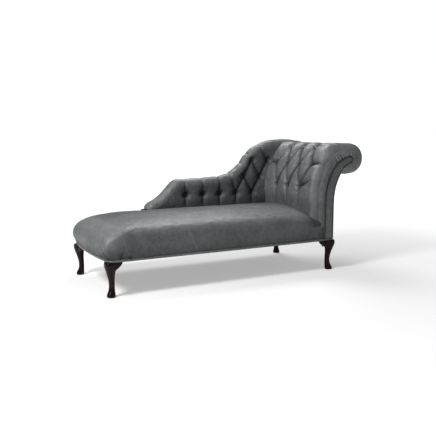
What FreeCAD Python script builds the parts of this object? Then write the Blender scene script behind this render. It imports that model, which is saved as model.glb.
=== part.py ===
import FreeCAD, Part
import math
import os
from FreeCAD import Vector

# A leather chaise longue: one scroll end, a low swept back, deep buttoning and four cabriole legs.
# Millimetres. +X runs from the foot end to the scroll end, +Y from the front to the back, +Z up.
# The origin is on the floor, under the middle of the whole piece.
# Headings are degrees clockwise from straight up, seen from the front.

# Seat frame
foot_rail_x = -890.0          # outer face of the foot rail, at the middle of its bow
foot_bow_radius = 2875.0
frame_half_depth = 330.0      # outer faces of the front and rear rails
rail_thickness = 28.0
rail_height = 75.0
cross_rail_height = 48.0
cross_rail_places = [-450.0, -10.0]
corner_block_size = 76.0
corner_block_height = 60.0
post_middle_inset = 36.0      # middle of each scroll post inside the inner edge of the facing
scroll_rail_heights = [320.0, 470.0]
scroll_rail_height = 46.0
scroll_rail_width = 24.0
glue_line = 0.2
dowel_radius = 4.0
dowel_length = 50.0
dowel_spacing = 38.0
dowel_fit = 0.1
back_dowel_count = 6
back_dowel_first = 110.0      # from the start of the low back
back_dowel_pitch = 160.0
back_dowel_low = 330.0
back_dowel_rise = 150.0
screw_radius = 2.5
screw_head_radius = 4.5
screw_head_height = 3.0
screw_length = 44.0
screw_fit = 0.1
screw_recess = 6.0            # depth of the pocket behind each head
screw_along = 0.62            # shares of the corner block's size and height
screw_across = 0.38
screw_rise = 0.6

# Legs
leg_height = 200.0
foot_inset_x = 14.0           # middle of the foot inside the frame's outer face, along the length
foot_inset_y = 21.0           # the same, across the depth
leg_shoe = 58.0               # square top of the leg, under the corner of the frame
leg_shoe_height = 16.0
shoe_set_back = 2.0
# Height, distance out along the leg's own diagonal, radius
leg_sections = [
    (200.0, -6.0, 27.0), (178.0, 3.0, 27.0), (150.0, 4.5, 22.5), (120.0, 0.5, 17.0),
    (90.0, -4.0, 14.2), (62.0, -5.5, 13.2), (38.0, -3.0, 15.0), (20.0, 3.0, 21.5),
]
leg_pad_radius = 25.0
leg_pad_out = 5.0
leg_pad_height = 16.0
leg_sole_radius = 20.0
ear_reach = 84.0              # from the middle of the foot to the tip of each ear
ear_drop = 56.0
ear_tip = 9.0
ear_thickness = 30.0
ear_set_back = 3.0
ear_bend = 0.36               # share of the way along the ear where its under edge bends
ear_room = 1.0
bolt_place = 43.0             # inside both outer faces of the frame
bolt_radius = 4.0
bolt_in_leg = 50.0
bolt_fit = 0.25
washer_radius = 11.0
washer_thickness = 1.6
nut_radius = 7.5
nut_height = 6.5
bolt_past_nut = 4.0

# Leather, wadding and linings
leather = 2.0
soft_gap = 0.3                # between soft pieces that only touch
hessian = 1.5
webbing = 2.0
webbing_width = 50.0
webbing_count = 4
dust_cloth = 0.8
dust_cloth_inset = 12.0
hessian_inset = 14.2          # leaves the board of the low back its place on the rear rail
tack_radius = 4.0
tack_height = 1.2
tack_pitch = 120.0
tack_first = 160.0            # from the foot corner of the frame
tack_last = 60.0              # short of the facing

# Seat
seat_cover_out = 10.0         # bottom edge of the leather outside the rail
seat_side_lean = 10.0         # degrees that the side leans out from its bottom edge
seat_side_radius = 350.0
seat_shoulder_radius = 72.0
seat_shoulder_turn = 64.0
foot_side_lean = 20.0
foot_side_length = 50.0
foot_side_radius = 84.0
foot_side_turn = 45.0
foot_roll_radius = 178.0
foot_roll_turn = 50.0
foot_crest_radius = 480.0
seat_below = 20.0             # the seat's outline starts this far under its bottom edge, then is cut
seat_sweep_margin = 1.3
band_height = 10.0
band_thickness = 2.5
spring_first_x = -800.0
spring_pitch = 165.0
spring_count = 8
spring_runs = 16
spring_wire = 1.9
spring_width = 56.0
spring_on_rail = 7.0
clip_plate = 1.2
clip_slack = 0.1
clip_length = 12.0
clip_width = 14.0

# Facing of the scroll end, traced up the inside, round the tip and down the outside
facing_x = 582.0
facing_bottom_gap = 5.0
facing_straight = 263.0
facing_inner_arcs = [(360.0, 32.5), (205.0, 47.5)]
facing_tip_radius = 26.0
facing_tip_turn = 172.0
facing_outer_arcs = [(147.5, -41.0), (372.5, -31.0)]
facing_board = 6.0
post_thickness = 28.0
post_inset = 3.0
nail_radius = 4.8
nail_height = 2.4
nail_pitch = 12.6
nail_margin = 6.5
nail_shank_radius = 0.8
nail_shank = 7.0
nail_fit = 0.2
nail_hole_front = 2.0
nail_hole_past = 3.0

# Padding of the scroll end, traced up the inside and over the roll
pad_x = 491.0
pad_straight_top = 488.0
pad_arcs = [(468.0, 40.5), (116.0, 49.5)]
roll_flat = 128.0
roll_radius = 101.5
roll_under = 130.0            # the leather under the roll runs in this far to its tuck
outside_cover_out = 8.0       # outside leather, beyond the edge of the facing
pad_end_radius = 42.0
arm_tuck_z = 300.0
arm_twine = 24.0              # from the back of a button to the webbing
webbing_tip_turn = 40.0

# Low back, whose top edge sweeps up from the seat and ends on the roll
back_start_heading = 12.0
back_top = [
    ("arc", 55.0, 56.0), ("arc", 290.0, -23.5), ("line", 75.6), ("arc", 90.0, 46.5),
    ("arc", 2600.0, -5.5), ("line", 41.0), ("arc", 279.0, -49.4), ("arc", 325.0, 46.6),
    ("arc", 900.0, 19.2),
]
back_face_y = 245.0
back_outer_y = 340.0
back_seam_y = 322.0
back_round = 40.0
back_board = 12.0
back_board_y = 316.5
back_board_drop = 46.0
board_roll_reach = 60.0       # the board runs this far past the post, inside the roll
board_post_drop = 60.0
board_post_notch = 10.0
lining_tuck = 5.0
seat_meets_back_z = 412.0

# Deep buttoning
button_radius = 11.0
button_height = 7.0
tuft_mouth = 34.0
tuft_floor = 13.0
tuft_depth = 28.0
fold_radius = 16.0
fold_depth = 9.0
pleat_depth = 5.0
twine_radius = 1.2
arm_pitch = 139.0
arm_middle_y = -3.0
arm_rows = [(156.0, 3), (327.0, 4), (480.0, 3)]    # length up the padding from the seat, count
arm_length_start = 390.0
roll_pleat_end = 110.0
neighbour_reach = 1.1         # buttons this near, in back pitches, share a fold
edge_steps = 200              # trial places along the top edge for the end of a pleat
edge_first = 40
back_pitch = 131.0
back_first_x = -140.0
back_rows = [(482.0, 0.0, 5), (594.0, 3.5, 2), (706.0, 4.0, 2)]    # height, first place, count

far = 2000.0                  # past every side of the piece
path_end = 1e9                # a length past the end of any path

# Derived places
rail_bottom = leg_height
rail_top = rail_bottom + rail_height
cover_half_depth = frame_half_depth + seat_cover_out
foot_axis_x = foot_rail_x + foot_bow_radius
inner_half_depth = frame_half_depth - rail_thickness
post_outer_y = frame_half_depth - leather
post_inner_y = post_outer_y - post_thickness
foot_corner_x = foot_axis_x - math.sqrt(foot_bow_radius ** 2 - frame_half_depth ** 2)
foot_inner_x = foot_corner_x + rail_thickness
rail_right_x = facing_x + post_inset - glue_line
post_middle_x = facing_x + post_middle_inset
spring_reach = inner_half_depth + spring_on_rail
spring_z = rail_top + clip_plate + spring_wire + clip_slack
clip_top = spring_z + spring_wire + clip_slack + clip_plate
hessian_z = clip_top + soft_gap
foam_z = hessian_z + hessian + soft_gap


def arcs(pairs):
    return [("arc", radius, turn) for radius, turn in pairs]


def step(x, z, heading, run):
    """Edge of one line or arc run, and where it ends."""
    h = math.radians(heading)
    if run[0] == "line":
        end = (x + run[1] * math.sin(h), z + run[1] * math.cos(h))
        edge = Part.LineSegment(Vector(x, 0, z), Vector(end[0], 0, end[1])).toShape()
        return edge, end, heading
    side = math.copysign(1.0, run[2])
    cx = x + side * run[1] * math.cos(h)
    cz = z - side * run[1] * math.sin(h)

    def on(turn):
        a = h + math.radians(turn)
        return Vector(cx - side * run[1] * math.cos(a), 0, cz + side * run[1] * math.sin(a))

    end = on(run[2])
    edge = Part.Arc(Vector(x, 0, z), on(run[2] / 2), end).toShape()
    return edge, (end.x, end.z), heading + run[2]


def trace(start, heading, runs, offset=0.0):
    """Edges of a path in the XZ plane, moved to its right by the offset, with its end."""
    h = math.radians(heading)
    x = start[0] + offset * math.cos(h)
    z = start[1] - offset * math.sin(h)
    edges = []
    for run in runs:
        if run[0] == "arc":
            run = ("arc", run[1] - math.copysign(1.0, run[2]) * offset, run[2])
        edge, (x, z), heading = step(x, z, heading, run)
        edges.append(edge)
    return edges, (x, z), heading


def place_on(start, heading, runs, length):
    """Point and heading at a length along a path."""
    x, z = start
    for run in runs:
        size = run[1] if run[0] == "line" else run[1] * math.radians(abs(run[2]))
        if length <= size:
            part = ("line", length) if run[0] == "line" else ("arc", run[1], run[2] * length / size)
            edge, (x, z), heading = step(x, z, heading, part)
            return (x, z), heading
        edge, (x, z), heading = step(x, z, heading, run)
        length -= size
    return (x, z), heading


def joined(edges, corners):
    """Closed outline from edges end to end and the corners that lead back to their start."""
    first = edges[0].valueAt(edges[0].FirstParameter)
    last = edges[-1].valueAt(edges[-1].LastParameter)
    points = [last] + [Vector(x, 0, z) for x, z in corners] + [first]
    closing = [Part.LineSegment(a, b).toShape() for a, b in zip(points, points[1:])]
    return Part.Face(Part.Wire(edges + closing))


def slab(face, y0, y1):
    solid = face.copy()
    solid.translate(Vector(0, y0, 0))
    return solid.extrude(Vector(0, y1 - y0, 0))


def box(x0, x1, y0, y1, z0, z1):
    return Part.makeBox(x1 - x0, y1 - y0, z1 - z0, Vector(x0, y0, z0))


def rod(p, q, radius):
    return Part.makeCylinder(radius, (q - p).Length, p, q - p)


def biggest(shape):
    return max(shape.Solids, key=lambda solid: solid.Volume)


def save(name, solids):
    shape = solids[0] if len(solids) == 1 else Part.makeCompound(solids)
    shape.exportStep("parts/" + name + ".step")
    print(name, len(solids), round(sum(s.Volume for s in solids) / 1000, 1), "cm3", shape.isValid())


# Outlines of the scroll end and the low back

def facing_path(bottom):
    """Facing path from a bottom height up the inside, round the tip and down to where it runs straight."""
    rise = facing_straight + rail_bottom + facing_bottom_gap - bottom
    runs = [("line", rise)] + arcs(facing_inner_arcs)
    return runs + [("arc", facing_tip_radius, facing_tip_turn)] + arcs(facing_outer_arcs)


def facing_slab(bottom, grow, y0, y1):
    edges, end, heading = trace((facing_x, bottom), 0.0, facing_path(bottom), -grow)
    return slab(joined(edges, [(end[0], bottom)]), y0, y1)


def ribbon(start, heading, runs, near, far, y0, y1):
    """Sheet that follows a path, between two offsets."""
    one, one_end, h = trace(start, heading, runs, near)
    two, two_end, h = trace(start, heading, runs, far)
    a, b = one[0].valueAt(one[0].FirstParameter), two[0].valueAt(two[0].FirstParameter)
    c, d = Vector(one_end[0], 0, one_end[1]), Vector(two_end[0], 0, two_end[1])
    caps = [Part.LineSegment(a, b).toShape(), Part.LineSegment(c, d).toShape()]
    wire = Part.Wire(Part.__sortEdges__(one + two + caps))
    return slab(Part.Face(wire), y0, y1)


def rounded(solid, edges, y, radius):
    """Solid with the edges of an outline rounded over on the face at one depth."""
    marks = [edge.CenterOfMass + Vector(0, y, 0) for edge in edges]
    picks = [e for e in solid.Edges if any((e.CenterOfMass - mark).Length < 0.01 for mark in marks)]
    return solid.makeFillet(radius, picks)


def pad_path():
    runs = [("line", pad_straight_top - foam_z)] + arcs(pad_arcs)
    return runs + [("line", roll_flat), ("arc", roll_radius, 180.0)]


roll_start = place_on((pad_x, foam_z), 0.0, pad_path()[:4], path_end)[0]
roll_centre = (roll_start[0], roll_start[1] - roll_radius)
facing_outer_x = place_on((facing_x, rail_bottom), 0.0, facing_path(rail_bottom), path_end)[0][0]
frame_right_x = facing_outer_x - post_inset
head_rail_x = frame_right_x - rail_thickness
pad_front_y = -post_outer_y - leather - soft_gap
pad_back_y = back_face_y - soft_gap


def pad_form(inset):
    """Padding and cover of the scroll end, before it is buttoned."""
    runs = pad_path() + [("line", roll_under)]
    edges, end, heading = trace((pad_x, foam_z), 0.0, runs, inset)
    face = joined(edges, [(post_middle_x, pad_straight_top), (post_middle_x, foam_z)])
    solid = slab(face, pad_front_y + inset, pad_back_y)
    return rounded(solid, edges, pad_front_y + inset, pad_end_radius - inset)


def back_path():
    """Top edge of the low back and its start, placed so that it ends on the roll."""
    (x, z), heading = place_on((0.0, 0.0), back_start_heading, back_top, path_end)
    h = math.radians(heading - 90.0)
    start = (roll_centre[0] + roll_radius * math.sin(h) - x, roll_centre[1] + roll_radius * math.cos(h) - z)
    return start, back_top + [("arc", roll_radius, 270.0 - heading), ("line", roll_under)]


back_start = back_path()[0]


def back_form(inset):
    """Padding and cover of the low back, with the rear of the scroll end, before it is buttoned."""
    start, runs = back_path()
    edges, end, heading = trace(start, back_start_heading, runs, inset)
    left = start[0] + inset
    face = joined(edges, [(post_middle_x, pad_straight_top), (post_middle_x, rail_bottom),
                          (left, rail_bottom)])
    solid = slab(face, back_face_y + inset, back_outer_y - inset)
    for y in (back_face_y + inset, back_outer_y - inset):
        solid = rounded(solid, edges, y, back_round - inset)
    side = facing_slab(rail_bottom, outside_cover_out - leather - soft_gap - inset,
                       back_face_y + inset, back_outer_y - inset)
    return solid.fuse(side)


# Deep buttoning

def tube(edges, radius):
    """Round tube along a path of lines and arcs."""
    first = edges[0]
    ring = Part.Circle(first.valueAt(first.FirstParameter), first.tangentAt(first.FirstParameter), radius)
    return Part.Wire(edges).makePipeShell([Part.Wire(ring.toShape())], True, False)


def dimple(point, inward, inset):
    depth = tuft_depth + inset
    return Part.makeCone(tuft_mouth + inset, tuft_floor, depth, point, inward)


def back_buttons():
    places = []
    for z, first, count in back_rows:
        places.append([Vector(back_first_x + back_pitch * (first + i), back_face_y, z) for i in range(count)])
    return places


def neighbours(row, other, reach):
    return [(a, b) for a in row for b in other if (a - b).Length < reach]


def back_tufts(inset):
    """What the buttoning takes out of the inside face of the low back."""
    rows = back_buttons()
    lift = Vector(0, fold_depth - fold_radius, 0)
    cuts = [dimple(p, Vector(0, 1, 0), inset) for row in rows for p in row]
    for low, high in zip(rows, rows[1:]):
        for a, b in neighbours(low, high, back_pitch * neighbour_reach):
            cuts.append(rod(a + lift, b + lift, fold_radius + inset))
    start, runs = back_path()
    length = sum(run[1] if run[0] == "line" else run[1] * math.radians(abs(run[2])) for run in back_top)
    shallow = Vector(0, pleat_depth - fold_radius, 0)
    for p in rows[0]:
        foot = Vector(p.x, p.y, seat_meets_back_z)
        cuts.append(rod(p + shallow, foot + shallow, fold_radius + inset))
    for p in rows[0][:4] + rows[1][:1] + rows[2]:
        edge, heading = min((place_on(start, back_start_heading, back_top, length * i / edge_steps)
                             for i in range(edge_first, edge_steps + 1)),
                            key=lambda place: math.hypot(place[0][0] - p.x, place[0][1] - p.z))
        top = Vector(edge[0], back_face_y, edge[1])
        out = (top - p).normalize()
        turn = top - out * back_round
        reach = back_round + fold_radius - pleat_depth
        centre = turn + Vector(0, back_round, 0)
        middle = centre + (out - Vector(0, 1, 0)).normalize() * reach
        line = Part.LineSegment(p + shallow, turn + shallow).toShape()
        arc = Part.Arc(turn + shallow, middle, centre + out * reach).toShape()
        cuts.append(tube([line, arc], fold_radius + inset))
    return cuts


def on_pad(length, y):
    """Point on the crest of the scroll end's padding and the direction into it."""
    (x, z), heading = place_on((pad_x, foam_z), 0.0, pad_path(), length + arm_length_start - foam_z)
    h = math.radians(heading)
    return Vector(x, y, z), Vector(math.cos(h), 0, -math.sin(h)), heading


def arm_places():
    rows = []
    for length, count in arm_rows:
        rows.append([(length, arm_middle_y + arm_pitch * (i - (count - 1) / 2)) for i in range(count)])
    return rows


def arm_tufts(inset):
    """What the buttoning takes out of the padding of the scroll end."""
    rows = arm_places()
    cuts = []
    for row in rows:
        for place in row:
            point, inward, heading = on_pad(*place)
            cuts.append(dimple(point, inward, inset))
    for low, high in zip(rows, rows[1:]):
        for a in low:
            for b in high:
                if abs(a[1] - b[1]) < arm_pitch:
                    p, in_p, h = on_pad(*a)
                    q, in_q, h = on_pad(*b)
                    crest, in_m, h = on_pad((a[0] + b[0]) / 2, (a[1] + b[1]) / 2)
                    sag = (crest - (p + q) * 0.5).Length / 2
                    lift = fold_radius - fold_depth + sag
                    cuts.append(rod(p - in_p * lift, q - in_q * lift, fold_radius + inset))
    for length, y in rows[0]:
        p, inward, heading = on_pad(length, y)
        q, inward, heading = on_pad(0.0, y)
        lift = inward * (fold_radius - pleat_depth)
        cuts.append(rod(p - lift, q - lift, fold_radius + inset))
    for length, y in rows[-1]:
        p, inward, heading = on_pad(length, y)
        runs = [("arc", pad_arcs[1][0], 90.0 - heading), ("line", roll_flat),
                ("arc", roll_radius, roll_pleat_end)]
        edges, end, h = trace((p.x, p.z), heading, runs, pleat_depth - fold_radius)
        for edge in edges:
            edge.translate(Vector(0, y, 0))
        cuts.append(tube(edges, fold_radius + inset))
    return cuts


def button(point, inward):
    """Covered button: a short drum with a coned face."""
    base = point + inward * tuft_depth
    drum = Part.makeCylinder(button_radius, button_height / 2, base, -inward)
    crown = Part.makeCone(button_radius, button_radius / 2, button_height / 2,
                          base - inward * button_height / 2, -inward)
    return drum.fuse(crown)


# Seat

def seat_form(inset):
    """Outside of the seat: the long section crossed with the bowed, rolled foot end."""
    lean = math.radians(foot_side_lean)
    start = (foot_rail_x - seat_cover_out + seat_below * math.tan(lean), rail_bottom - seat_below)
    runs = [("line", foot_side_length + seat_below / math.cos(lean)),
            ("arc", foot_side_radius, foot_side_turn),
            ("arc", foot_roll_radius, foot_roll_turn),
            ("arc", foot_crest_radius, 90.0 + foot_side_lean - foot_side_turn - foot_roll_turn)]
    edges, end, heading = trace(start, -foot_side_lean, runs, inset)
    end_face = joined(edges, [(facing_x, end[1]), (facing_x, rail_bottom - seat_below)])
    axis = Vector(foot_axis_x, 0, 0)
    half_sweep = math.degrees(math.asin(cover_half_depth * seat_sweep_margin / (foot_axis_x - facing_x)))
    end_face.rotate(axis, Vector(0, 0, 1), -half_sweep)
    lengthwise = end_face.revolve(axis, Vector(0, 0, 1), 2 * half_sweep)

    lean = math.radians(seat_side_lean)
    start = (-cover_half_depth + seat_below * math.tan(lean), rail_bottom - seat_below)
    side = [("line", seat_below / math.cos(lean)), ("arc", seat_side_radius, 2 * seat_side_lean),
            ("arc", seat_shoulder_radius, seat_shoulder_turn)]
    edges, end, heading = trace(start, -seat_side_lean, side, inset)
    crown_radius = -end[0] / math.cos(math.radians(heading))
    crown, top, h = trace(end, heading, [("arc", crown_radius, 180.0 - 2 * heading)])
    mirror = [edge.mirror(Vector(0, 0, 0), Vector(1, 0, 0)) for edge in edges]
    first = edges[0].valueAt(edges[0].FirstParameter)
    closing = Part.LineSegment(first, Vector(-first.x, 0, first.z)).toShape()
    section = Part.Face(Part.Wire(Part.__sortEdges__(edges + crown + mirror + [closing])))
    section.rotate(Vector(0, 0, 0), Vector(0, 0, 1), 90)
    section.translate(Vector(-far, 0, 0))
    across = section.extrude(Vector(2 * far, 0, 0))
    form = lengthwise.common(across)
    keep = box(-far, facing_x - soft_gap, -far, far, rail_bottom, far)
    return biggest(form.common(keep))


# Zones that keep the pieces clear of each other

def behind_rails(solid):
    """Solid without what would lie among the rails, behind the front of the low back."""
    deck = box(-far, far, 0, frame_half_depth + soft_gap, 0, foam_z)
    return solid.cut(deck)


def clear_of_ends(solid):
    """Seat piece cut clear of the scroll end, the low back and their tucks."""
    start = back_start[0] - soft_gap
    rear = box(start, far, back_face_y - soft_gap, far, 0, far)
    return biggest(solid.cut([pad_form(-soft_gap), rear]))


def frame_block(grow, right):
    """Plan of the frame up to a place along its length, with its bowed foot end."""
    radius = foot_bow_radius + grow
    half = frame_half_depth + grow
    edge_x = foot_axis_x - math.sqrt(radius ** 2 - half ** 2)
    middle = Vector(foot_axis_x - radius, 0, 0)
    arc = Part.Arc(Vector(edge_x, -half, 0), middle, Vector(edge_x, half, 0)).toShape()
    corners = [Vector(edge_x, half, 0), Vector(right, half, 0), Vector(right, -half, 0),
               Vector(edge_x, -half, 0)]
    sides = [Part.LineSegment(a, b).toShape() for a, b in zip(corners, corners[1:])]
    return Part.Face(Part.Wire([arc] + sides))


def lifted(face, z0, z1):
    solid = face.copy()
    solid.translate(Vector(0, 0, z0))
    return solid.extrude(Vector(0, 0, z1 - z0))


# Wooden frame

def dowels():
    """Dowel places: middle and direction, along X or Y or Z."""
    places = []
    low = rail_bottom + (rail_height - dowel_spacing) / 2
    high = low + dowel_spacing
    side_y = frame_half_depth - rail_thickness / 2
    x, y, z = Vector(1, 0, 0), Vector(0, 1, 0), Vector(0, 0, 1)
    for height in (low, high):
        for side in (-1, 1):
            places.append((Vector(foot_inner_x, side * side_y, height), x))
            places.append((Vector(rail_right_x, side * side_y, height), x))
            places.append((Vector(head_rail_x + rail_thickness / 2, side * post_inner_y, height), y))
    for cross_x in cross_rail_places:
        for side in (-1, 1):
            for shift in (-1, 1):
                height = rail_bottom + cross_rail_height / 2
                spot = Vector(cross_x + shift * rail_thickness / 4, side * inner_half_depth, height)
                places.append((spot, y))
    for i in range(back_dowel_count):
        spot_x = back_start[0] + back_dowel_first + i * back_dowel_pitch
        places.append((Vector(spot_x, back_board_y + back_board / 2, rail_top), z))
    for height in (back_dowel_low, back_dowel_low + back_dowel_rise):
        places.append((Vector(facing_x + post_inset, back_board_y + back_board / 2, height), x))
    for height in scroll_rail_heights:
        for side in (-1, 1):
            places.append((Vector(post_middle_x, side * post_inner_y, height), y))
    places.extend((Vector(tip_centre[0], side * post_inner_y, tip_centre[1]), y) for side in (-1, 1))
    return places


def dowel(place, grow):
    middle, direction = place
    half = direction * (dowel_length / 2 + grow)
    return rod(middle - half, middle + half, dowel_radius + grow)


tip_place, tip_heading = place_on((facing_x, rail_bottom), 0.0, facing_path(rail_bottom)[:3], path_end)
tip_centre = (tip_place[0] + facing_tip_radius * math.cos(math.radians(tip_heading)),
              tip_place[1] - facing_tip_radius * math.sin(math.radians(tip_heading)))


def corners():
    """Outer corners of the frame and the directions that point into it."""
    return {"front_left": (foot_corner_x, -frame_half_depth, 1, 1),
            "front_right": (frame_right_x, -frame_half_depth, -1, 1),
            "rear_left": (foot_corner_x, frame_half_depth, 1, -1),
            "rear_right": (frame_right_x, frame_half_depth, -1, -1)}


def into(corner, u, v, z):
    x, y, sx, sy = corner
    return Vector(x + sx * u, y + sy * v, z)


def corner_block(corner):
    u = rail_thickness + glue_line
    v = (frame_half_depth - post_inner_y if corner[2] < 0 else rail_thickness) + glue_line
    points = [into(corner, u, v, rail_bottom), into(corner, u + corner_block_size, v, rail_bottom),
              into(corner, u, v + corner_block_size, rail_bottom)]
    block = Part.Face(Part.makePolygon(points + points[:1])).extrude(Vector(0, 0, corner_block_height))
    bolt = rod(into(corner, bolt_place, bolt_place, 0), into(corner, bolt_place, bolt_place, far),
               bolt_radius + bolt_fit)
    return block.cut([bolt] + [screw(corner, i, screw_fit)[1] for i in (0, 1)])


def screw(corner, which, grow):
    """Wood screw through a corner block into one rail, square to the rail."""
    along = rail_thickness + corner_block_size * screw_along
    head_in = rail_thickness + glue_line + corner_block_size * screw_across
    z = rail_bottom + corner_block_height * screw_rise
    spots = [(along, head_in), (head_in, along)][which]
    ends = [(along, head_in - screw_length), (head_in - screw_length, along)][which]
    head = into(corner, spots[0], spots[1], z)
    tip = into(corner, ends[0], ends[1], z)
    shank = rod(head, tip, screw_radius + grow)
    back = (head - tip).normalize()
    recess = screw_recess if grow else 0.0
    drum = Part.makeCylinder(screw_head_radius + grow, screw_head_height + recess, head, back)
    return shank, shank.fuse(drum).removeSplitter()


def frame():
    places = dowels()
    holes = [dowel(place, dowel_fit) for place in places]
    for corner in corners().values():
        holes.extend(screw(corner, which, screw_fit)[0] for which in (0, 1))
    wood = {}
    side = (foot_inner_x + glue_line, rail_right_x)
    wood["front_seat_rail"] = box(*side, -frame_half_depth, -inner_half_depth, rail_bottom, rail_top)
    wood["rear_seat_rail"] = box(*side, inner_half_depth, frame_half_depth, rail_bottom, rail_top)
    foot = lifted(frame_block(0.0, facing_x), rail_bottom, rail_top)
    wood["foot_end_rail"] = foot.common(box(-far, foot_inner_x, -far, far, 0, far))
    inner_y = post_inner_y - glue_line
    wood["head_end_rail"] = box(head_rail_x, frame_right_x, -inner_y, inner_y, rail_bottom, rail_top)
    for i, x in enumerate(cross_rail_places):
        rail = box(x - rail_thickness / 2, x + rail_thickness / 2, glue_line - inner_half_depth,
                   inner_half_depth - glue_line, rail_bottom, rail_bottom + cross_rail_height)
        wood["cross_rail_" + str(i + 1)] = rail
    wood["front_scroll_post"] = facing_slab(rail_bottom, -post_inset, -post_outer_y, -post_inner_y)
    wood["rear_scroll_post"] = facing_slab(rail_bottom, -post_inset, post_inner_y, post_outer_y)
    bar_radius = facing_tip_radius - post_inset
    wood["scroll_roll_bar"] = rod(Vector(tip_centre[0], -inner_y, tip_centre[1]),
                                  Vector(tip_centre[0], inner_y, tip_centre[1]), bar_radius)
    for name, z in zip(("scroll_lower_rail", "scroll_middle_rail"), scroll_rail_heights):
        wood[name] = box(post_middle_x - scroll_rail_width / 2, post_middle_x + scroll_rail_width / 2,
                         -inner_y, inner_y, z - scroll_rail_height / 2, z + scroll_rail_height / 2)
    start, runs = back_path()
    edges, end, heading = trace(start, back_start_heading, runs[:-2], back_board_drop)
    left = edges[0].valueAt(edges[0].FirstParameter).x
    outline = joined(edges, [(post_middle_x + board_roll_reach, pad_straight_top),
                             (post_middle_x, pad_straight_top),
                             (post_middle_x, rail_top + glue_line), (left, rail_top + glue_line)])
    board = slab(outline, back_board_y, back_board_y + back_board)
    around_post = facing_slab(rail_bottom, glue_line - post_inset, post_inner_y - glue_line, far)
    past_post = box(facing_x + post_inset + board_post_notch, far, 0, far, 0,
                    pad_straight_top - board_post_drop)
    wood["back_board"] = left_part(board.cut([around_post, past_post]))
    for name in wood:
        save(name, [biggest(wood[name].cut(holes))])
    save("frame_dowels", [dowel(place, 0.0) for place in places])
    save("corner_blocks", [corner_block(corner) for corner in corners().values()])
    save("corner_block_screws", [screw(c, which, 0.0)[1] for c in corners().values() for which in (0, 1)])
    return holes


def left_part(shape):
    return min(shape.Solids, key=lambda solid: solid.BoundBox.XMin)


# Legs

def leg_form(corner, grow):
    out = Vector(-corner[2], -corner[3], 0).normalize()
    foot = into(corner, foot_inset_x, foot_inset_y, 0)
    rings = []
    for z, away, radius in leg_sections:
        ring = Part.makeCircle(radius + grow, foot + out * away + Vector(0, 0, z), Vector(0, 0, 1))
        rings.append(Part.Wire(ring))
    shaft = Part.makeLoft(rings, True)
    middle = foot + out * leg_pad_out
    sole = Part.makeCone(leg_sole_radius + grow, leg_pad_radius + grow, leg_pad_height / 2, middle)
    upper = Part.makeCone(leg_pad_radius + grow, leg_sole_radius + grow, leg_pad_height,
                          middle + Vector(0, 0, leg_pad_height / 2))
    a = into(corner, shoe_set_back - grow, shoe_set_back - grow, rail_bottom - leg_shoe_height)
    b = into(corner, leg_shoe + grow, leg_shoe + grow, rail_bottom)
    shoe = box(min(a.x, b.x), max(a.x, b.x), min(a.y, b.y), max(a.y, b.y), a.z, b.z)
    return shaft.fuse([sole, upper, shoe])


def ear(corner, along_x):
    """Bracket between the knee and the rail, on one side of the leg."""
    near = ear_set_back + ear_thickness + ear_room
    tip = ear_reach + foot_inset_x

    def at(u, depth, z):
        return into(corner, u, depth, z) if along_x else into(corner, depth, u, z)

    d = ear_set_back
    bottom = rail_bottom - ear_drop
    points = [at(near, d, rail_bottom), at(tip, d, rail_bottom), at(tip, d, rail_bottom - ear_tip)]
    bend = at(near + (tip - near) * ear_bend, d, rail_bottom - ear_tip - (ear_drop - ear_tip) * ear_bend)
    low = at(near, d, bottom)
    edges = [Part.LineSegment(points[0], points[1]).toShape(),
             Part.LineSegment(points[1], points[2]).toShape(),
             Part.Arc(points[2], bend, low).toShape(), Part.LineSegment(low, points[0]).toShape()]
    thickness = at(near, d + ear_thickness, bottom) - low
    solid = Part.Face(Part.Wire(edges)).extrude(thickness)
    return biggest(solid.cut(leg_form(corner, glue_line)))


def legs():
    bolts, washers, nuts, ears = [], [], [], []
    for name, corner in corners().items():
        foot = into(corner, bolt_place, bolt_place, rail_bottom - bolt_in_leg)
        seat = into(corner, bolt_place, bolt_place, rail_bottom + corner_block_height)
        top = seat + Vector(0, 0, washer_thickness + nut_height + bolt_past_nut)
        pocket = rod(foot, top, bolt_radius)
        leg = leg_form(corner, 0.0).cut(pocket)
        save("leg_" + name, [biggest(leg)])
        save("knee_brackets_" + name, [ear(corner, True), ear(corner, False)])
        bolts.append(rod(foot, top, bolt_radius))
        hole = rod(foot, top, bolt_radius + bolt_fit)
        washer = Part.makeCylinder(washer_radius, washer_thickness, seat)
        washers.append(washer.cut(hole))
        base = seat + Vector(0, 0, washer_thickness)
        ring = []
        for i in range(7):
            a = math.radians(60 * i)
            ring.append(base + Vector(nut_radius * math.cos(a), nut_radius * math.sin(a), 0))
        nut = Part.Face(Part.makePolygon(ring)).extrude(Vector(0, 0, nut_height))
        nuts.append(nut.cut(hole))
    save("leg_bolts", bolts)
    save("leg_bolt_washers", washers)
    save("leg_bolt_nuts", nuts)


# Springs and seat

def spring(x):
    """Serpentine spring across the depth, whose end bars lie on the two long rails."""
    pitch = 2 * spring_reach / spring_runs
    bend = pitch / 2
    straight = spring_width / 2 - bend
    edges = []
    for i in range(spring_runs + 1):
        y = i * pitch - spring_reach
        side = 1 if i % 2 == 0 else -1
        a, b = Vector(x - side * straight, y, spring_z), Vector(x + side * straight, y, spring_z)
        edges.append(Part.LineSegment(a, b).toShape())
        if i < spring_runs:
            middle = b + Vector(side * bend, bend, 0)
            edges.append(Part.Arc(b, middle, b + Vector(0, pitch, 0)).toShape())
    return tube(edges, spring_wire)


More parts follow.
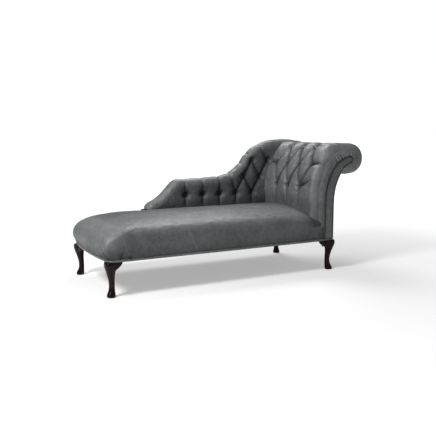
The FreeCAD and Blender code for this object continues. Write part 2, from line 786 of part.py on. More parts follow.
def clip(x, side):
    """Folded steel clip that holds the end bar of a spring on its rail."""
    y = side * spring_reach
    back = side * (spring_wire + clip_slack)
    low = box(x - clip_length / 2, x + clip_length / 2, y - clip_width / 2, y + clip_width / 2,
              rail_top, rail_top + clip_plate)
    high = box(x - clip_length / 2, x + clip_length / 2, y - clip_width / 4, y + clip_width / 4,
               clip_top - clip_plate, clip_top)
    wall = box(x - clip_length / 2, x + clip_length / 2, min(y + back, y + back + side * clip_plate),
               max(y + back, y + back + side * clip_plate), rail_top, clip_top)
    return low.fuse([high, wall])


def seat():
    places = [spring_first_x + spring_pitch * i for i in range(spring_count)]
    save("seat_springs", [spring(x) for x in places])
    save("spring_clips", [clip(x, side) for x in places for side in (-1, 1)])
    save("seat_hessian", [lifted(frame_block(-hessian_inset, facing_x), hessian_z, hessian_z + hessian)])
    outer = seat_form(0.0)
    inner = seat_form(leather)
    stuffing = seat_form(leather + soft_gap)
    save("seat_cover", [clear_of_ends(outer.cut(inner))])
    above = box(-far, far, -far, far, foam_z, far)
    save("seat_foam", [clear_of_ends(stuffing.common(above))])
    border = box(-far, far, -far, far, rail_bottom, foam_z - soft_gap)
    core = lifted(frame_block(soft_gap, facing_x), 0, far)
    past = box(facing_x - soft_gap, far, -far, far, 0, far)
    wadding = clear_of_ends(stuffing.common(border).cut([core, past]))
    save("rail_wadding", [wadding])
    ring = seat_form(-soft_gap - band_thickness).cut(seat_form(-soft_gap))
    ring = ring.common(box(-far, facing_x - soft_gap, -far, far, rail_bottom, rail_bottom + band_height))
    save("bottom_band", [clear_of_ends(ring)])


# Scroll end

def scroll_end():
    outer = pad_form(0.0).cut(arm_tufts(0.0))
    inner = pad_form(leather).cut(arm_tufts(leather))
    filling = pad_form(leather + soft_gap).cut(arm_tufts(leather + soft_gap))
    holes, twine, buttons = [], [], []
    for row in arm_places():
        for place in row:
            point, inward, heading = on_pad(*place)
            button_face = point + inward * (tuft_depth - button_height)
            buttons.append(button(point, inward))
            knot = point + inward * (tuft_depth + soft_gap)
            end = point + inward * (tuft_depth + arm_twine)
            twine.append(rod(knot, end, twine_radius))
            holes.append(rod(button_face, end + inward, twine_radius + soft_gap))
    core_out = webbing + 2 * soft_gap
    behind_front = facing_slab(rail_bottom, core_out, -post_outer_y - soft_gap / 2, back_face_y)
    all_through = facing_slab(rail_bottom, core_out, -far, far)
    save("arm_inside_cover", [biggest(outer.cut(inner).cut([behind_front] + holes))])
    save("arm_stuffing", [biggest(filling.cut([all_through] + holes))])
    save("arm_buttons", buttons)
    save("arm_button_twine", twine)
    over_tip = [("arc", facing_tip_radius, webbing_tip_turn)]
    inner_runs = [("line", facing_straight)] + arcs(facing_inner_arcs) + over_tip
    start = (facing_x, rail_bottom + facing_bottom_gap)
    sheet = ribbon(start, 0.0, inner_runs, -soft_gap, -soft_gap - webbing, -far, far)
    straps = []
    pitch = (pad_back_y + post_inner_y) / webbing_count
    for i in range(webbing_count):
        y = (i + 0.5) * pitch - post_inner_y
        span = box(-far, far, y - webbing_width / 2, y + webbing_width / 2, arm_tuck_z, far)
        straps.append(sheet.common(span))
    save("arm_webbing", straps)
    (x, z), heading = place_on((facing_x, rail_bottom), 0.0, facing_path(rail_bottom)[:4], path_end)
    down = arcs(facing_outer_arcs) + [("line", facing_straight + roll_radius)]
    level = box(-far, far, -far, far, rail_bottom, roll_centre[1] - roll_radius - soft_gap)
    outer_off, inner_off = -outside_cover_out, leather - outside_cover_out
    cover = ribbon((x, z), heading, down, outer_off, inner_off, pad_front_y, back_outer_y)
    save("arm_outside_cover", [biggest(cover.common(level))])
    wadding = ribbon((x, z), heading, down, inner_off + soft_gap, post_inset - soft_gap,
                     -post_inner_y, back_face_y - soft_gap)
    save("arm_outside_wadding", [biggest(wadding.common(level))])


def facing():
    front = pad_front_y - soft_gap
    leather_front = front - facing_board - leather
    bottom = rail_bottom + facing_bottom_gap
    inset = nail_margin
    edges, end, heading = trace((facing_x, bottom), 0.0, facing_path(bottom), inset)
    path = edges + [Part.LineSegment(Vector(end[0], 0, end[1]), Vector(end[0], 0, bottom + inset)).toShape()]
    wire = Part.Wire(path)
    count = int(wire.Length / nail_pitch)
    spots = [p for p in wire.discretize(Number=count + 1) if p.z > bottom + inset - 1]
    foot = int((end[0] - facing_x - inset) / nail_pitch)
    gap = (end[0] - facing_x - inset) / (foot + 1)
    spots.extend(Vector(facing_x + inset + gap * (i + 1), 0, bottom + inset) for i in range(foot))
    dome_radius = (nail_radius ** 2 + nail_height ** 2) / (2 * nail_height)
    nails, holes = [], []
    for spot in spots:
        place = Vector(spot.x, leather_front, spot.z)
        ball = Part.makeSphere(dome_radius, place + Vector(0, dome_radius - nail_height, 0))
        cap = ball.common(Part.makeCylinder(nail_radius + 1, nail_height + 1, place, Vector(0, -1, 0)))
        shank = Part.makeCylinder(nail_shank_radius, nail_shank, place, Vector(0, 1, 0))
        nails.append(cap.fuse(shank).removeSplitter())
        mouth = place - Vector(0, nail_hole_front, 0)
        depth = nail_hole_front + nail_shank + nail_hole_past
        holes.append(Part.makeCylinder(nail_shank_radius + nail_fit, depth, mouth, Vector(0, 1, 0)))
    board = facing_slab(bottom, 0.0, front - facing_board, front)
    skin = facing_slab(bottom, 0.0, leather_front, front - facing_board)
    save("facing_board", [biggest(board.cut(holes))])
    save("facing_leather", [biggest(skin.cut(holes))])
    save("facing_nails", nails)


# Low back

def low_back():
    outer = back_form(0.0).cut(back_tufts(0.0))
    inner = back_form(leather).cut(back_tufts(leather))
    filling = back_form(leather + soft_gap).cut(back_tufts(leather + soft_gap))
    lining_y = back_board_y - soft_gap - hessian
    buttons, twine, holes = [], [], []
    inward = Vector(0, 1, 0)
    for row in back_buttons():
        for point in row:
            buttons.append(button(point, inward))
            knot = point + inward * (tuft_depth + soft_gap)
            end = Vector(point.x, lining_y - soft_gap, point.z)
            twine.append(rod(knot, end, twine_radius))
            button_face = point + inward * (tuft_depth - button_height)
            holes.append(rod(button_face, end + inward * soft_gap / 2, twine_radius + soft_gap))
    inside = facing_slab(rail_bottom, webbing + 2 * soft_gap, 0, post_outer_y)
    skin = behind_rails(outer.cut(inner)).cut([inside] + holes)
    ahead = box(-far, far, 0, back_seam_y, 0, far)
    save("back_inside_cover", [biggest(skin.common(ahead))])
    behind = box(-far, far, back_seam_y + soft_gap, far, 0, far)
    save("back_outside_cover", [biggest(skin.common(behind))])
    start, runs = back_path()
    edges, end, heading = trace(start, back_start_heading, runs[:-2], back_board_drop - soft_gap)
    left = edges[0].valueAt(edges[0].FirstParameter).x
    low = foam_z - lining_tuck
    outline = joined(edges, [(post_middle_x + board_roll_reach, pad_straight_top),
                             (post_middle_x, pad_straight_top),
                             (post_middle_x, low), (left, low)])
    zone = slab(outline, lining_y - soft_gap, back_board_y + back_board + soft_gap)
    post = facing_slab(rail_bottom, soft_gap - post_inset, post_inner_y - soft_gap, post_outer_y + soft_gap)
    stuffing = behind_rails(filling).cut([zone, post, inside] + holes)
    save("back_stuffing", [biggest(stuffing)])
    seen = box(-far, facing_x - soft_gap, 0, far, foam_z, far)
    lining = slab(outline, lining_y, lining_y + hessian).common(seen)
    post_clear = facing_slab(rail_bottom, soft_gap - post_inset, post_inner_y - soft_gap, post_outer_y)
    save("back_lining", [left_part(lining.cut(post_clear))])
    save("back_buttons", buttons)
    save("back_button_twine", twine)


def underside():
    plan = frame_block(-dust_cloth_inset, frame_right_x - dust_cloth_inset)
    sheet = lifted(plan, rail_bottom - dust_cloth, rail_bottom)
    legs_clear = [leg_form(corner, soft_gap) for corner in corners().values()]
    ears = [ear_space(corner) for corner in corners().values()]
    sheet = sheet.cut(legs_clear + ears)
    tacks = []
    for side in (-1, 1):
        x = foot_corner_x + tack_first
        while x < facing_x - tack_last:
            place = Vector(x, side * (frame_half_depth - rail_thickness / 2), rail_bottom - dust_cloth)
            tacks.append(Part.makeCylinder(tack_radius, tack_height, place, Vector(0, 0, -1)))
            x += tack_pitch
    save("dust_cover", [biggest(sheet)])
    save("dust_cover_tacks", tacks)


def ear_space(corner):
    """Room for both ears of a leg, through the dust cover."""
    reach = ear_reach + foot_inset_x + ear_room
    depth = ear_set_back + ear_thickness + ear_room
    a, b = into(corner, 0, 0, 0), into(corner, reach, depth, rail_top)
    c = into(corner, depth, reach, rail_top)
    one = box(min(a.x, b.x), max(a.x, b.x), min(a.y, b.y), max(a.y, b.y), a.z, b.z)
    two = box(min(a.x, c.x), max(a.x, c.x), min(a.y, c.y), max(a.y, c.y), a.z, c.z)
    return one.fuse(two)


os.makedirs("parts", exist_ok=True)
frame()
legs()
seat()
scroll_end()
facing()
low_back()
underside()
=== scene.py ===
import bpy, bmesh, math
import numpy as np
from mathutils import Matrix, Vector


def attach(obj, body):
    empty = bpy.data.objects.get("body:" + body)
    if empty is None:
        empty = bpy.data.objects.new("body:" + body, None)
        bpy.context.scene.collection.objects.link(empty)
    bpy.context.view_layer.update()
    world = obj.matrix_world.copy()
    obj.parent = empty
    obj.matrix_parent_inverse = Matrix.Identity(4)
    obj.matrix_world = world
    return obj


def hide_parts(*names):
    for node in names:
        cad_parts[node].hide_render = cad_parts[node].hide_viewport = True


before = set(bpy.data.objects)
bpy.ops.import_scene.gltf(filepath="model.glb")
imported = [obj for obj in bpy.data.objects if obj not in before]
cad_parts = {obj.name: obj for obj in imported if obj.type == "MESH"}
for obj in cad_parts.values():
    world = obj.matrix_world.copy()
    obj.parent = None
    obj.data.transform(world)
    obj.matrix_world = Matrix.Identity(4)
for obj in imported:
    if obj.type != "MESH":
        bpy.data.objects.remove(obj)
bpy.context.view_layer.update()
print("frame loaded", len(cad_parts))

# seat frame in plan, shared by the seat and its band: the foot end is a shallow bow
body = {"halfDepth": 0.340, "footX": -0.900, "bowRadius": 2.875, "railBottom": 0.200}


# Small helpers for objects and node trees

def addObject(name, data):
    made = bpy.data.objects.new(name, data)
    bpy.context.scene.collection.objects.link(made)
    return made

# links an output, or sets a constant
def feed(tree, socket, value):
    if isinstance(value, bpy.types.NodeSocket):
        tree.links.new(value, socket)
    elif value is not None:
        socket.default_value = value

def nodeOf(tree, kind, inputs=None, **sets):
    node = tree.nodes.new(kind)
    for name, value in sets.items():
        setattr(node, name, value)
    for label, value in (inputs or {}).items():
        feed(tree, node.inputs[label], value)
    return node

def newGroup(name, kind, ins, outs):
    tree = bpy.data.node_groups.new(name, kind)
    for label, socketKind, value in ins:
        socket = tree.interface.new_socket(label, in_out="INPUT", socket_type="NodeSocket" + socketKind)
        if value is not None:
            socket.default_value = value
    for label, socketKind in outs:
        tree.interface.new_socket(label, in_out="OUTPUT", socket_type="NodeSocket" + socketKind)
    return tree, tree.nodes.new("NodeGroupInput").outputs, tree.nodes.new("NodeGroupOutput").inputs

def mathNode(tree, operation, *values, clamp=False):
    return nodeOf(tree, "ShaderNodeMath", dict(enumerate(values)), operation=operation, use_clamp=clamp).outputs[0]

def times(tree, a, b):
    return mathNode(tree, "MULTIPLY", a, b)

def plus(tree, a, b):
    return mathNode(tree, "ADD", a, b)

def noiseNode(tree, vector, scale, detail=2.0, rough=0.5, distortion=0.0):
    inputs = {"Vector": vector, "Scale": scale, "Detail": detail, "Roughness": rough, "Distortion": distortion}
    return nodeOf(tree, "ShaderNodeTexNoise", inputs).outputs["Fac"]

def mapRange(tree, value, low, high, toLow=0.0, toHigh=1.0):
    inputs = {"Value": value, "From Min": low, "From Max": high, "To Min": toLow, "To Max": toHigh}
    return nodeOf(tree, "ShaderNodeMapRange", inputs).outputs["Result"]

def mixColor(tree, share, a, b):
    return nodeOf(tree, "ShaderNodeMix", {0: share, 6: a, 7: b}, data_type="RGBA").outputs[2]

def bumped(tree, height, strength, distance, under=None):
    inputs = {"Height": height, "Strength": strength, "Distance": distance, "Normal": under}
    return nodeOf(tree, "ShaderNodeBump", inputs).outputs[0]


# Camera, lights and floor

camera = {"place": (-1.878, -3.468, 0.910), "down": 8.12, "turn": 28.08, "lens": 50.0, "sensor": 36.0,
          "clip": (0.05, 60.0)}
lights = {"key": ((-2.8, -1.0, 2.9), 1.0, 126.0), "fill": ((1.2, -4.2, 1.6), 2.6, 6.0),
          "top": ((0.7, 1.5, 2.9), 1.6, 48.0)}  # place, width, power
room = {"world": 0.20, "lookAt": (0, 0, 0.4), "floorHalf": 60, "floorColor": (0.95, 0.95, 0.95, 1), "glow": 1.25,
        "glowFrom": (1.2, 0.30), "glowTo": (4.0, 1.0)}  # the floor glows more with distance: metres, share

def makeCamera():
    data = bpy.data.cameras.new("camera")
    data.lens, data.sensor_width = camera["lens"], camera["sensor"]
    data.clip_start, data.clip_end = camera["clip"]
    made = addObject("camera", data)
    made.location = camera["place"]
    made.rotation_euler = (math.radians(90 - camera["down"]), 0, -math.radians(camera["turn"]))
    bpy.context.scene.camera = made

# 1 where the eye sees a surface straight or through glass, so the white round the object adds no light to it
def seenByEye(tree):
    rays = nodeOf(tree, "ShaderNodeLightPath").outputs
    return mathNode(tree, "MAXIMUM", rays["Is Camera Ray"], rays["Is Transmission Ray"])

def makeLights():
    for name, (place, size, power) in lights.items():
        data = bpy.data.lights.new(name, "AREA")
        data.shape, data.size, data.energy = "DISK", size, power
        lamp = addObject(name, data)
        lamp.location = place
        lamp.rotation_euler = (Vector(room["lookAt"]) - Vector(place)).to_track_quat("-Z", "Y").to_euler()
    world = bpy.data.worlds.new("room")
    bpy.context.scene.world = world
    world.use_nodes = True
    tree = world.node_tree
    back = tree.nodes["Background"].inputs
    feed(tree, back["Strength"], mapRange(tree, seenByEye(tree), 0.0, 1.0, room["world"], 1.0))
    feed(tree, back["Color"], (1, 1, 1, 1))

def makeFloor():
    half = room["floorHalf"]
    mesh = bpy.data.meshes.new("floor")
    mesh.from_pydata([(-half, -half, 0), (half, -half, 0), (half, half, 0), (-half, half, 0)], [], [(0, 1, 2, 3)])
    mat = bpy.data.materials.new("floor")
    mat.use_nodes = True
    tree = mat.node_tree
    tree.nodes.clear()
    place = nodeOf(tree, "ShaderNodeTexCoord").outputs["Object"]
    far = nodeOf(tree, "ShaderNodeVectorMath", {0: place}, operation="LENGTH").outputs["Value"]
    (near, low), (away, high) = room["glowFrom"], room["glowTo"]
    share = times(tree, seenByEye(tree), mapRange(tree, far, near, away, low, high))
    matt = nodeOf(tree, "ShaderNodeBsdfDiffuse", {"Color": room["floorColor"]}).outputs[0]
    glow = nodeOf(tree, "ShaderNodeEmission", {"Strength": room["glow"]}).outputs[0]
    both = nodeOf(tree, "ShaderNodeMixShader", {0: share, 1: matt, 2: glow}).outputs[0]
    nodeOf(tree, "ShaderNodeOutputMaterial", {"Surface": both})
    mesh.materials.append(mat)
    floor = addObject("floor", mesh)

makeCamera()
makeLights()
makeFloor()
bpy.context.scene.view_settings.view_transform = "Standard"
print("camera, lights and floor made")


# Materials

def makeGrainGroup():  # pebbled hide: two sizes of cell, with fine pores
    tree, ins, outs = newGroup("hideGrain", "ShaderNodeTree",
                               [("Vector", "Vector", (0, 0, 0)), ("Scale", "Float", 260.0)],
                               [("Height", "Float"), ("Pores", "Float")])
    def cells(scale):
        inputs = {"Vector": ins["Vector"], "Scale": scale}
        return nodeOf(tree, "ShaderNodeTexVoronoi", inputs, feature="DISTANCE_TO_EDGE").outputs["Distance"]
    large = mapRange(tree, cells(ins["Scale"]), 0.0, 0.16)
    small = mapRange(tree, cells(times(tree, ins["Scale"], 2.3)), 0.0, 0.2)
    feed(tree, outs["Height"], plus(tree, times(tree, large, 0.65), times(tree, small, 0.35)))
    feed(tree, outs["Pores"], mathNode(tree, "SUBTRACT", 1.0, small))
    return tree

def makeMottleGroup():  # cloudy dye and rubbed patches
    tree, ins, outs = newGroup("dyeMottle", "ShaderNodeTree",
                               [("Vector", "Vector", (0, 0, 0)), ("Scale", "Float", 5.0)],
                               [("Clouds", "Float"), ("Streaks", "Float")])
    big = noiseNode(tree, ins["Vector"], ins["Scale"], 5.0, 0.6, 0.6)
    fine = noiseNode(tree, ins["Vector"], times(tree, ins["Scale"], 9.0), 6.0, 0.7)
    clouds = plus(tree, times(tree, big, 0.45), times(tree, fine, 0.55))
    feed(tree, outs["Clouds"], mapRange(tree, clouds, 0.37, 0.63))
    drawn = nodeOf(tree, "ShaderNodeMapping", {"Vector": ins["Vector"], "Scale": (1.0, 1.0, 0.25)}).outputs[0]
    streaks = noiseNode(tree, drawn, times(tree, ins["Scale"], 22.0), 3.0, 0.6, 1.5)
    feed(tree, outs["Streaks"], mapRange(tree, streaks, 0.56, 0.74))
    return tree

def makeVeinGroup():  # one pale curved growth line on the seat's front, from High down to Low
    tree, ins, outs = newGroup("growthLine", "ShaderNodeTree",
                               [("Vector", "Vector", (0, 0, 0)), ("Top", "Float", 0.0), ("Slant", "Float", 0.3),
                                ("Bend", "Float", 1.0), ("Low", "Float", 0.22), ("High", "Float", 0.37),
                                ("Width", "Float", 0.0016)], [("Mask", "Float")])
    x, y, z = nodeOf(tree, "ShaderNodeSeparateXYZ", {0: ins["Vector"]}).outputs
    fall = mathNode(tree, "SUBTRACT", ins["High"], z)
    lean = times(tree, fall, ins["Slant"])
    curve = times(tree, times(tree, fall, fall), ins["Bend"])
    wobble = times(tree, mathNode(tree, "SUBTRACT", noiseNode(tree, ins["Vector"], 38.0), 0.5), 0.006)
    line = plus(tree, plus(tree, ins["Top"], lean), plus(tree, curve, wobble))
    gap = mathNode(tree, "ABSOLUTE", mathNode(tree, "SUBTRACT", x, line))
    core = mathNode(tree, "SUBTRACT", 1.0, mathNode(tree, "DIVIDE", gap, ins["Width"]), clamp=True)
    between = times(tree, mathNode(tree, "GREATER_THAN", z, ins["Low"]), mathNode(tree, "LESS_THAN", z, ins["High"]))
    shown = times(tree, between, mathNode(tree, "LESS_THAN", y, -0.2))  # the front side alone
    feed(tree, outs["Mask"], times(tree, core, shown))
    return tree

grainGroup, mottleGroup, veinGroup = makeGrainGroup(), makeMottleGroup(), makeVeinGroup()

def newMaterial(name):
    mat = bpy.data.materials.new(name)
    mat.use_nodes = True
    tree = mat.node_tree
    return mat, tree, tree.nodes["Principled BSDF"].inputs, nodeOf(tree, "ShaderNodeTexCoord").outputs["Object"]

# the shares are how far each effect reaches; the upholstery's crest attribute lays the lighter colour on crests,
# partly as wear and partly as painted highlight, and the deep colour in valleys as painted shade; streaks and pores
# take the deep colour as the dye's own dark tone
leather = {"deep": (0.016, 0.019, 0.019, 1), "dye": (0.062, 0.068, 0.070, 1), "litWornColor": (0.240, 0.253, 0.255, 1),
           "vein": (0.26, 0.28, 0.27, 1), "roughness": (0.27, 0.46), "valleyRoughness": 0.34, "specular": 0.5,
           "clouds": 0.41, "streaks": 0.24, "wearAndHighlight": 0.80, "valley": 0.85, "pores": 0.18, "veins": 0.34,
           "mottleScale": 4.2, "grain": 300.0, "bump": (0.40, 0.0009), "wrinkleScale": 26.0, "wrinkle": (0.35, 0.004)}

def leatherMaterial(name, veins=()):
    mat, tree, shader, place = newMaterial(name)
    mottle = nodeOf(tree, "ShaderNodeGroup", node_tree=mottleGroup)
    feed(tree, mottle.inputs["Scale"], leather["mottleScale"])
    feed(tree, mottle.inputs["Vector"], place)
    grain = nodeOf(tree, "ShaderNodeGroup", node_tree=grainGroup)
    feed(tree, grain.inputs["Scale"], leather["grain"])
    feed(tree, grain.inputs["Vector"], place)
    clouds = mottle.outputs["Clouds"]
    crest = nodeOf(tree, "ShaderNodeAttribute", attribute_name="crest").outputs["Fac"]
    # crests take the lighter colour: partly wear, partly painted highlight
    wearAndHighlight = times(tree, mapRange(tree, crest, 0.50, 1.0), plus(tree, times(tree, clouds, 0.55), 0.45))
    # valleys take the deep colour as painted shade, and are rougher
    valley = mapRange(tree, crest, 0.5, 0.0)
    base = mixColor(tree, times(tree, clouds, leather["clouds"]), leather["dye"], leather["litWornColor"])
    for mask, share, toward in ((mottle.outputs["Streaks"], "streaks", "deep"), (wearAndHighlight, "wearAndHighlight", "litWornColor"),
                                (valley, "valley", "deep"), (grain.outputs["Pores"], "pores", "deep")):
        base = mixColor(tree, times(tree, mask, leather[share]), base, leather[toward])
    for vein in veins:
        line = nodeOf(tree, "ShaderNodeGroup", node_tree=veinGroup)
        for label, value in {**vein, "Vector": place}.items():
            feed(tree, line.inputs[label], value)
        base = mixColor(tree, times(tree, line.outputs["Mask"], leather["veins"]), base, leather["vein"])
    low, high = leather["roughness"]
    polish = mapRange(tree, clouds, 0.0, 1.0, high, low)
    wrinkles = noiseNode(tree, place, leather["wrinkleScale"], 4.0, 0.55, 0.8)
    feed(tree, shader["Base Color"], base)
    feed(tree, shader["Roughness"], plus(tree, polish, times(tree, valley, leather["valleyRoughness"])))
    feed(tree, shader["Specular IOR Level"], leather["specular"])
    pebbles = bumped(tree, grain.outputs["Height"], *leather["bump"])
    feed(tree, shader["Normal"], bumped(tree, wrinkles, *leather["wrinkle"], pebbles))
    return mat

mahogany = {"dark": (0.0030, 0.0008, 0.0008, 1), "light": (0.015, 0.0020, 0.0018, 1), "roughness": (0.30, 0.34),
            "coat": 0.07, "coatRoughness": 0.12, "specular": 0.16, "grainStretch": (1.0, 1.0, 0.10),
            "bump": (0.10, 0.0005)}

def mahoganyMaterial():
    mat, tree, shader, place = newMaterial("mahogany")
    drawn = nodeOf(tree, "ShaderNodeMapping", {"Vector": place, "Scale": mahogany["grainStretch"]}).outputs[0]
    figure = noiseNode(tree, drawn, 60.0, 5.0, 0.65, 1.2)
    pore = noiseNode(tree, drawn, 420.0)
    color = mixColor(tree, mapRange(tree, figure, 0.35, 0.7), mahogany["dark"], mahogany["light"])
    color = mixColor(tree, mapRange(tree, pore, 0.62, 0.75, 0.0, 0.7), color, mahogany["dark"])
    feed(tree, shader["Base Color"], color)
    feed(tree, shader["Roughness"], mapRange(tree, pore, 0.3, 0.8, *mahogany["roughness"]))
    feed(tree, shader["Coat Weight"], mahogany["coat"])
    feed(tree, shader["Coat Roughness"], mahogany["coatRoughness"])
    feed(tree, shader["Specular IOR Level"], mahogany["specular"])
    feed(tree, shader["Normal"], bumped(tree, pore, *mahogany["bump"]))
    return mat

beech = {"pale": (0.62, 0.43, 0.25, 1), "grain": (0.42, 0.26, 0.13, 1), "fleck": (0.28, 0.16, 0.08, 1),
         "grainStretch": (0.08, 1.0, 1.0), "roughness": (0.55, 0.75)}

def beechMaterial():
    mat, tree, shader, place = newMaterial("beech")
    drawn = nodeOf(tree, "ShaderNodeMapping", {"Vector": place, "Scale": beech["grainStretch"]}).outputs[0]
    grain = noiseNode(tree, drawn, 90.0, 6.0, 0.6, 0.8)
    fleck = noiseNode(tree, drawn, 700.0)
    color = mixColor(tree, mapRange(tree, grain, 0.35, 0.7), beech["pale"], beech["grain"])
    color = mixColor(tree, mapRange(tree, fleck, 0.6, 0.7, 0.0, 0.5), color, beech["fleck"])
    feed(tree, shader["Base Color"], color)
    feed(tree, shader["Roughness"], mapRange(tree, grain, 0.2, 0.8, *beech["roughness"]))
    return mat

def clothMaterial(name, thread, gap, scale, roughness):
    mat, tree, shader, place = newMaterial(name)
    x, y, z = nodeOf(tree, "ShaderNodeSeparateXYZ", {0: place}).outputs
    across = mathNode(tree, "SINE", times(tree, x, scale))
    along = mathNode(tree, "SINE", times(tree, plus(tree, y, z), scale))
    weave = mapRange(tree, times(tree, across, along), -1.0, 1.0)
    dust = mapRange(tree, noiseNode(tree, place, 14.0, 4.0, 0.6), 0.4, 0.8, 0.0, 0.35)
    feed(tree, shader["Base Color"], mixColor(tree, dust, mixColor(tree, weave, gap, thread), gap))
    feed(tree, shader["Roughness"], mapRange(tree, weave, 0.0, 1.0, roughness, roughness - 0.08))
    feed(tree, shader["Normal"], bumped(tree, weave, 0.4, 0.0006))
    return mat

def metalMaterial(name, color, dull, roughness):
    mat, tree, shader, place = newMaterial(name)
    spots = noiseNode(tree, place, 130.0, 4.0, 0.6)
    feed(tree, shader["Base Color"], mixColor(tree, mapRange(tree, spots, 0.4, 0.7), color, dull))
    feed(tree, shader["Metallic"], 1.0)
    feed(tree, shader["Roughness"], mapRange(tree, spots, 0.3, 0.7, roughness, roughness + 0.2))
    return mat

veins = [{"Top": -0.800, "Slant": 0.10, "Bend": 1.6, "Low": 0.232, "High": 0.350, "Width": 0.0030},
         {"Top": -0.395, "Slant": 0.12, "Bend": 1.5, "Low": 0.222, "High": 0.372, "Width": 0.0030},
         {"Top": -0.013, "Slant": 0.10, "Bend": 1.0, "Low": 0.295, "High": 0.382, "Width": 0.0026},
         {"Top": 0.272, "Slant": 0.35, "Bend": 2.2, "Low": 0.292, "High": 0.384, "Width": 0.0032}]
materials = {
    "leather": leatherMaterial("leather"), "seatLeather": leatherMaterial("seatLeather", veins),
    "mahogany": mahoganyMaterial(), "beech": beechMaterial(),
    "wadding": clothMaterial("wadding", (0.80, 0.78, 0.70, 1), (0.62, 0.60, 0.53, 1), 900.0, 0.95),
    "hessian": clothMaterial("hessian", (0.50, 0.38, 0.22, 1), (0.20, 0.14, 0.07, 1), 1700.0, 0.9),
    "dustCloth": clothMaterial("dustCloth", (0.030, 0.030, 0.032, 1), (0.010, 0.010, 0.011, 1), 2400.0, 0.9),
    "steel": metalMaterial("steel", (0.36, 0.36, 0.38, 1), (0.16, 0.15, 0.14, 1), 0.35),
    "nailBronze": metalMaterial("nailBronze", (0.050, 0.046, 0.042, 1), (0.012, 0.011, 0.010, 1), 0.30)}
print("materials made", len(materials))


# Shapes shared by the upholstery

# points along straight and curved runs, a point per gap; headings turn clockwise from up, seen from the front
def walkPath(start, heading, runs, gap=0.001):
    points, turns, x, z, turned = [start], [heading], start[0], start[1], heading
    for run in runs:
        kind, size = run[0], run[1]
        length = size if kind == "line" else size * math.radians(abs(run[2]))
        count = max(2, int(length / gap))
        for i in range(count):
            bend = 0.0 if kind == "line" else run[2] / count
            middle = math.radians(turned + bend / 2)
            x, z = x + math.sin(middle) * length / count, z + math.cos(middle) * length / count
            turned += bend
            points.append((x, z)); turns.append(turned)
    points, turns = np.array(points), np.array(turns)
    lengths = np.concatenate([[0], np.cumsum(np.hypot(*np.diff(points, axis=0).T))])
    return {"points": points, "turns": turns, "lengths": lengths, "total": lengths[-1]}

# place and outward normal at lengths s
def onPath(path, s):
    x = np.interp(s, path["lengths"], path["points"][:, 0])
    z = np.interp(s, path["lengths"], path["points"][:, 1])
    turn = np.radians(np.interp(s, path["lengths"], path["turns"]))
    return x, z, -np.cos(turn), np.sin(turn)

def smoothStep(value, low, high):
    t = np.clip((value - low) / (high - low), 0, 1)
    return t * t * (3 - 2 * t)

# smooth value noise at points, about -1 to 1
def softNoise(points, scale, seed, octaves=3):
    total, size = np.zeros(len(points)), 1.0
    for octave in range(octaves):
        place = points * scale * 2 ** octave + seed * 17.3
        cell = np.floor(place).astype(np.int64)
        part = place - cell
        part = part * part * (3 - 2 * part)
        value = np.zeros(len(points))
        for corner in range(8):
            step = np.array([corner & 1, corner >> 1 & 1, corner >> 2 & 1])
            key = (cell + step) @ np.array([73856093, 19349663, 83492791]) + seed * 7919  # large primes mix the cells
            key = (key ^ (key >> 13)) * 1274126177 & 0x7FFFFFFF
            key = (key ^ (key >> 11)) * 668265263 & 0x7FFFFFFF
            weight = np.prod(np.where(step == 1, part, 1 - part), axis=1)
            value += weight * (key % 65536 / 32768 - 1)
        total += value * size
        size *= 0.5
    return total

# noise over a grid's two unrolled coordinates
def sheetNoise(a, b, scale, seed):
    return softNoise(np.stack([a, b, a * 0], -1).reshape(-1, 3), scale, seed).reshape(a.shape)

folding = {"sag": 0.30, "sagFrom": 0.01, "rounding": 0.0035, "lip": 0.16, "lipWidth": 0.25, "nearWidth": 0.26,
           "nearDepth": 0.022, "buttonWidth": 0.026, "buttonNear": 0.016}

# depth in metres of button pulls and creases at unrolled places (a, b), and how near a crease each is, 0 to 1
def foldDepth(a, b, folds, buttons):
    depth, near = np.zeros_like(a), np.zeros_like(a)
    for a0, b0, a1, b1, deep0, deep1, width in folds:
        da, db = a1 - a0, b1 - b0
        span = da * da + db * db
        t = np.clip(((a - a0) * da + (b - b0) * db) / span, 0, 1)
        side = (da * (b - b0) - db * (a - a0)) / math.sqrt(span)
        away = np.hypot(a - a0 - t * da, b - b0 - t * db)
        deep = deep0 + (deep1 - deep0) * t
        sag = 1 - folding["sag"] * np.sin(np.pi * t) if deep1 > folding["sagFrom"] else 1.0
        crease = np.exp(-(np.hypot(away, folding["rounding"]) - folding["rounding"]) / width)
        lip = 1 + folding["lip"] * np.sign(side) * np.exp(-away / (folding["lipWidth"] * width))
        depth = np.maximum(depth, deep * sag * crease * lip)
        close = np.exp(-away / (folding["nearWidth"] * width))
        near = np.maximum(near, close * np.clip(deep / folding["nearDepth"], 0, 1))
    for a0, b0, deep in buttons:
        away = np.hypot(a - a0, b - b0)
        depth = np.maximum(depth, deep * np.exp(-(away / folding["buttonWidth"]) ** 1.5))
        near = np.maximum(near, np.exp(-(away / folding["buttonNear"]) ** 2))
    return depth, near

def meshOf(name, points, faces, material, crest):
    mesh = bpy.data.meshes.new(name)
    mesh.from_pydata([tuple(p) for p in points], [], faces)
    mesh.materials.append(material)
    mesh.attributes.new("crest", "FLOAT", "POINT").data.foreach_set("value", np.asarray(crest, dtype=np.float32))
    made = addObject(name, mesh)
    bm = bmesh.new()
    bm.from_mesh(mesh)
    bmesh.ops.remove_doubles(bm, verts=bm.verts, dist=1e-6)
    bmesh.ops.recalc_face_normals(bm, faces=bm.faces)
    bm.to_mesh(mesh)
    bm.free()
    mesh.shade_smooth()
    return made

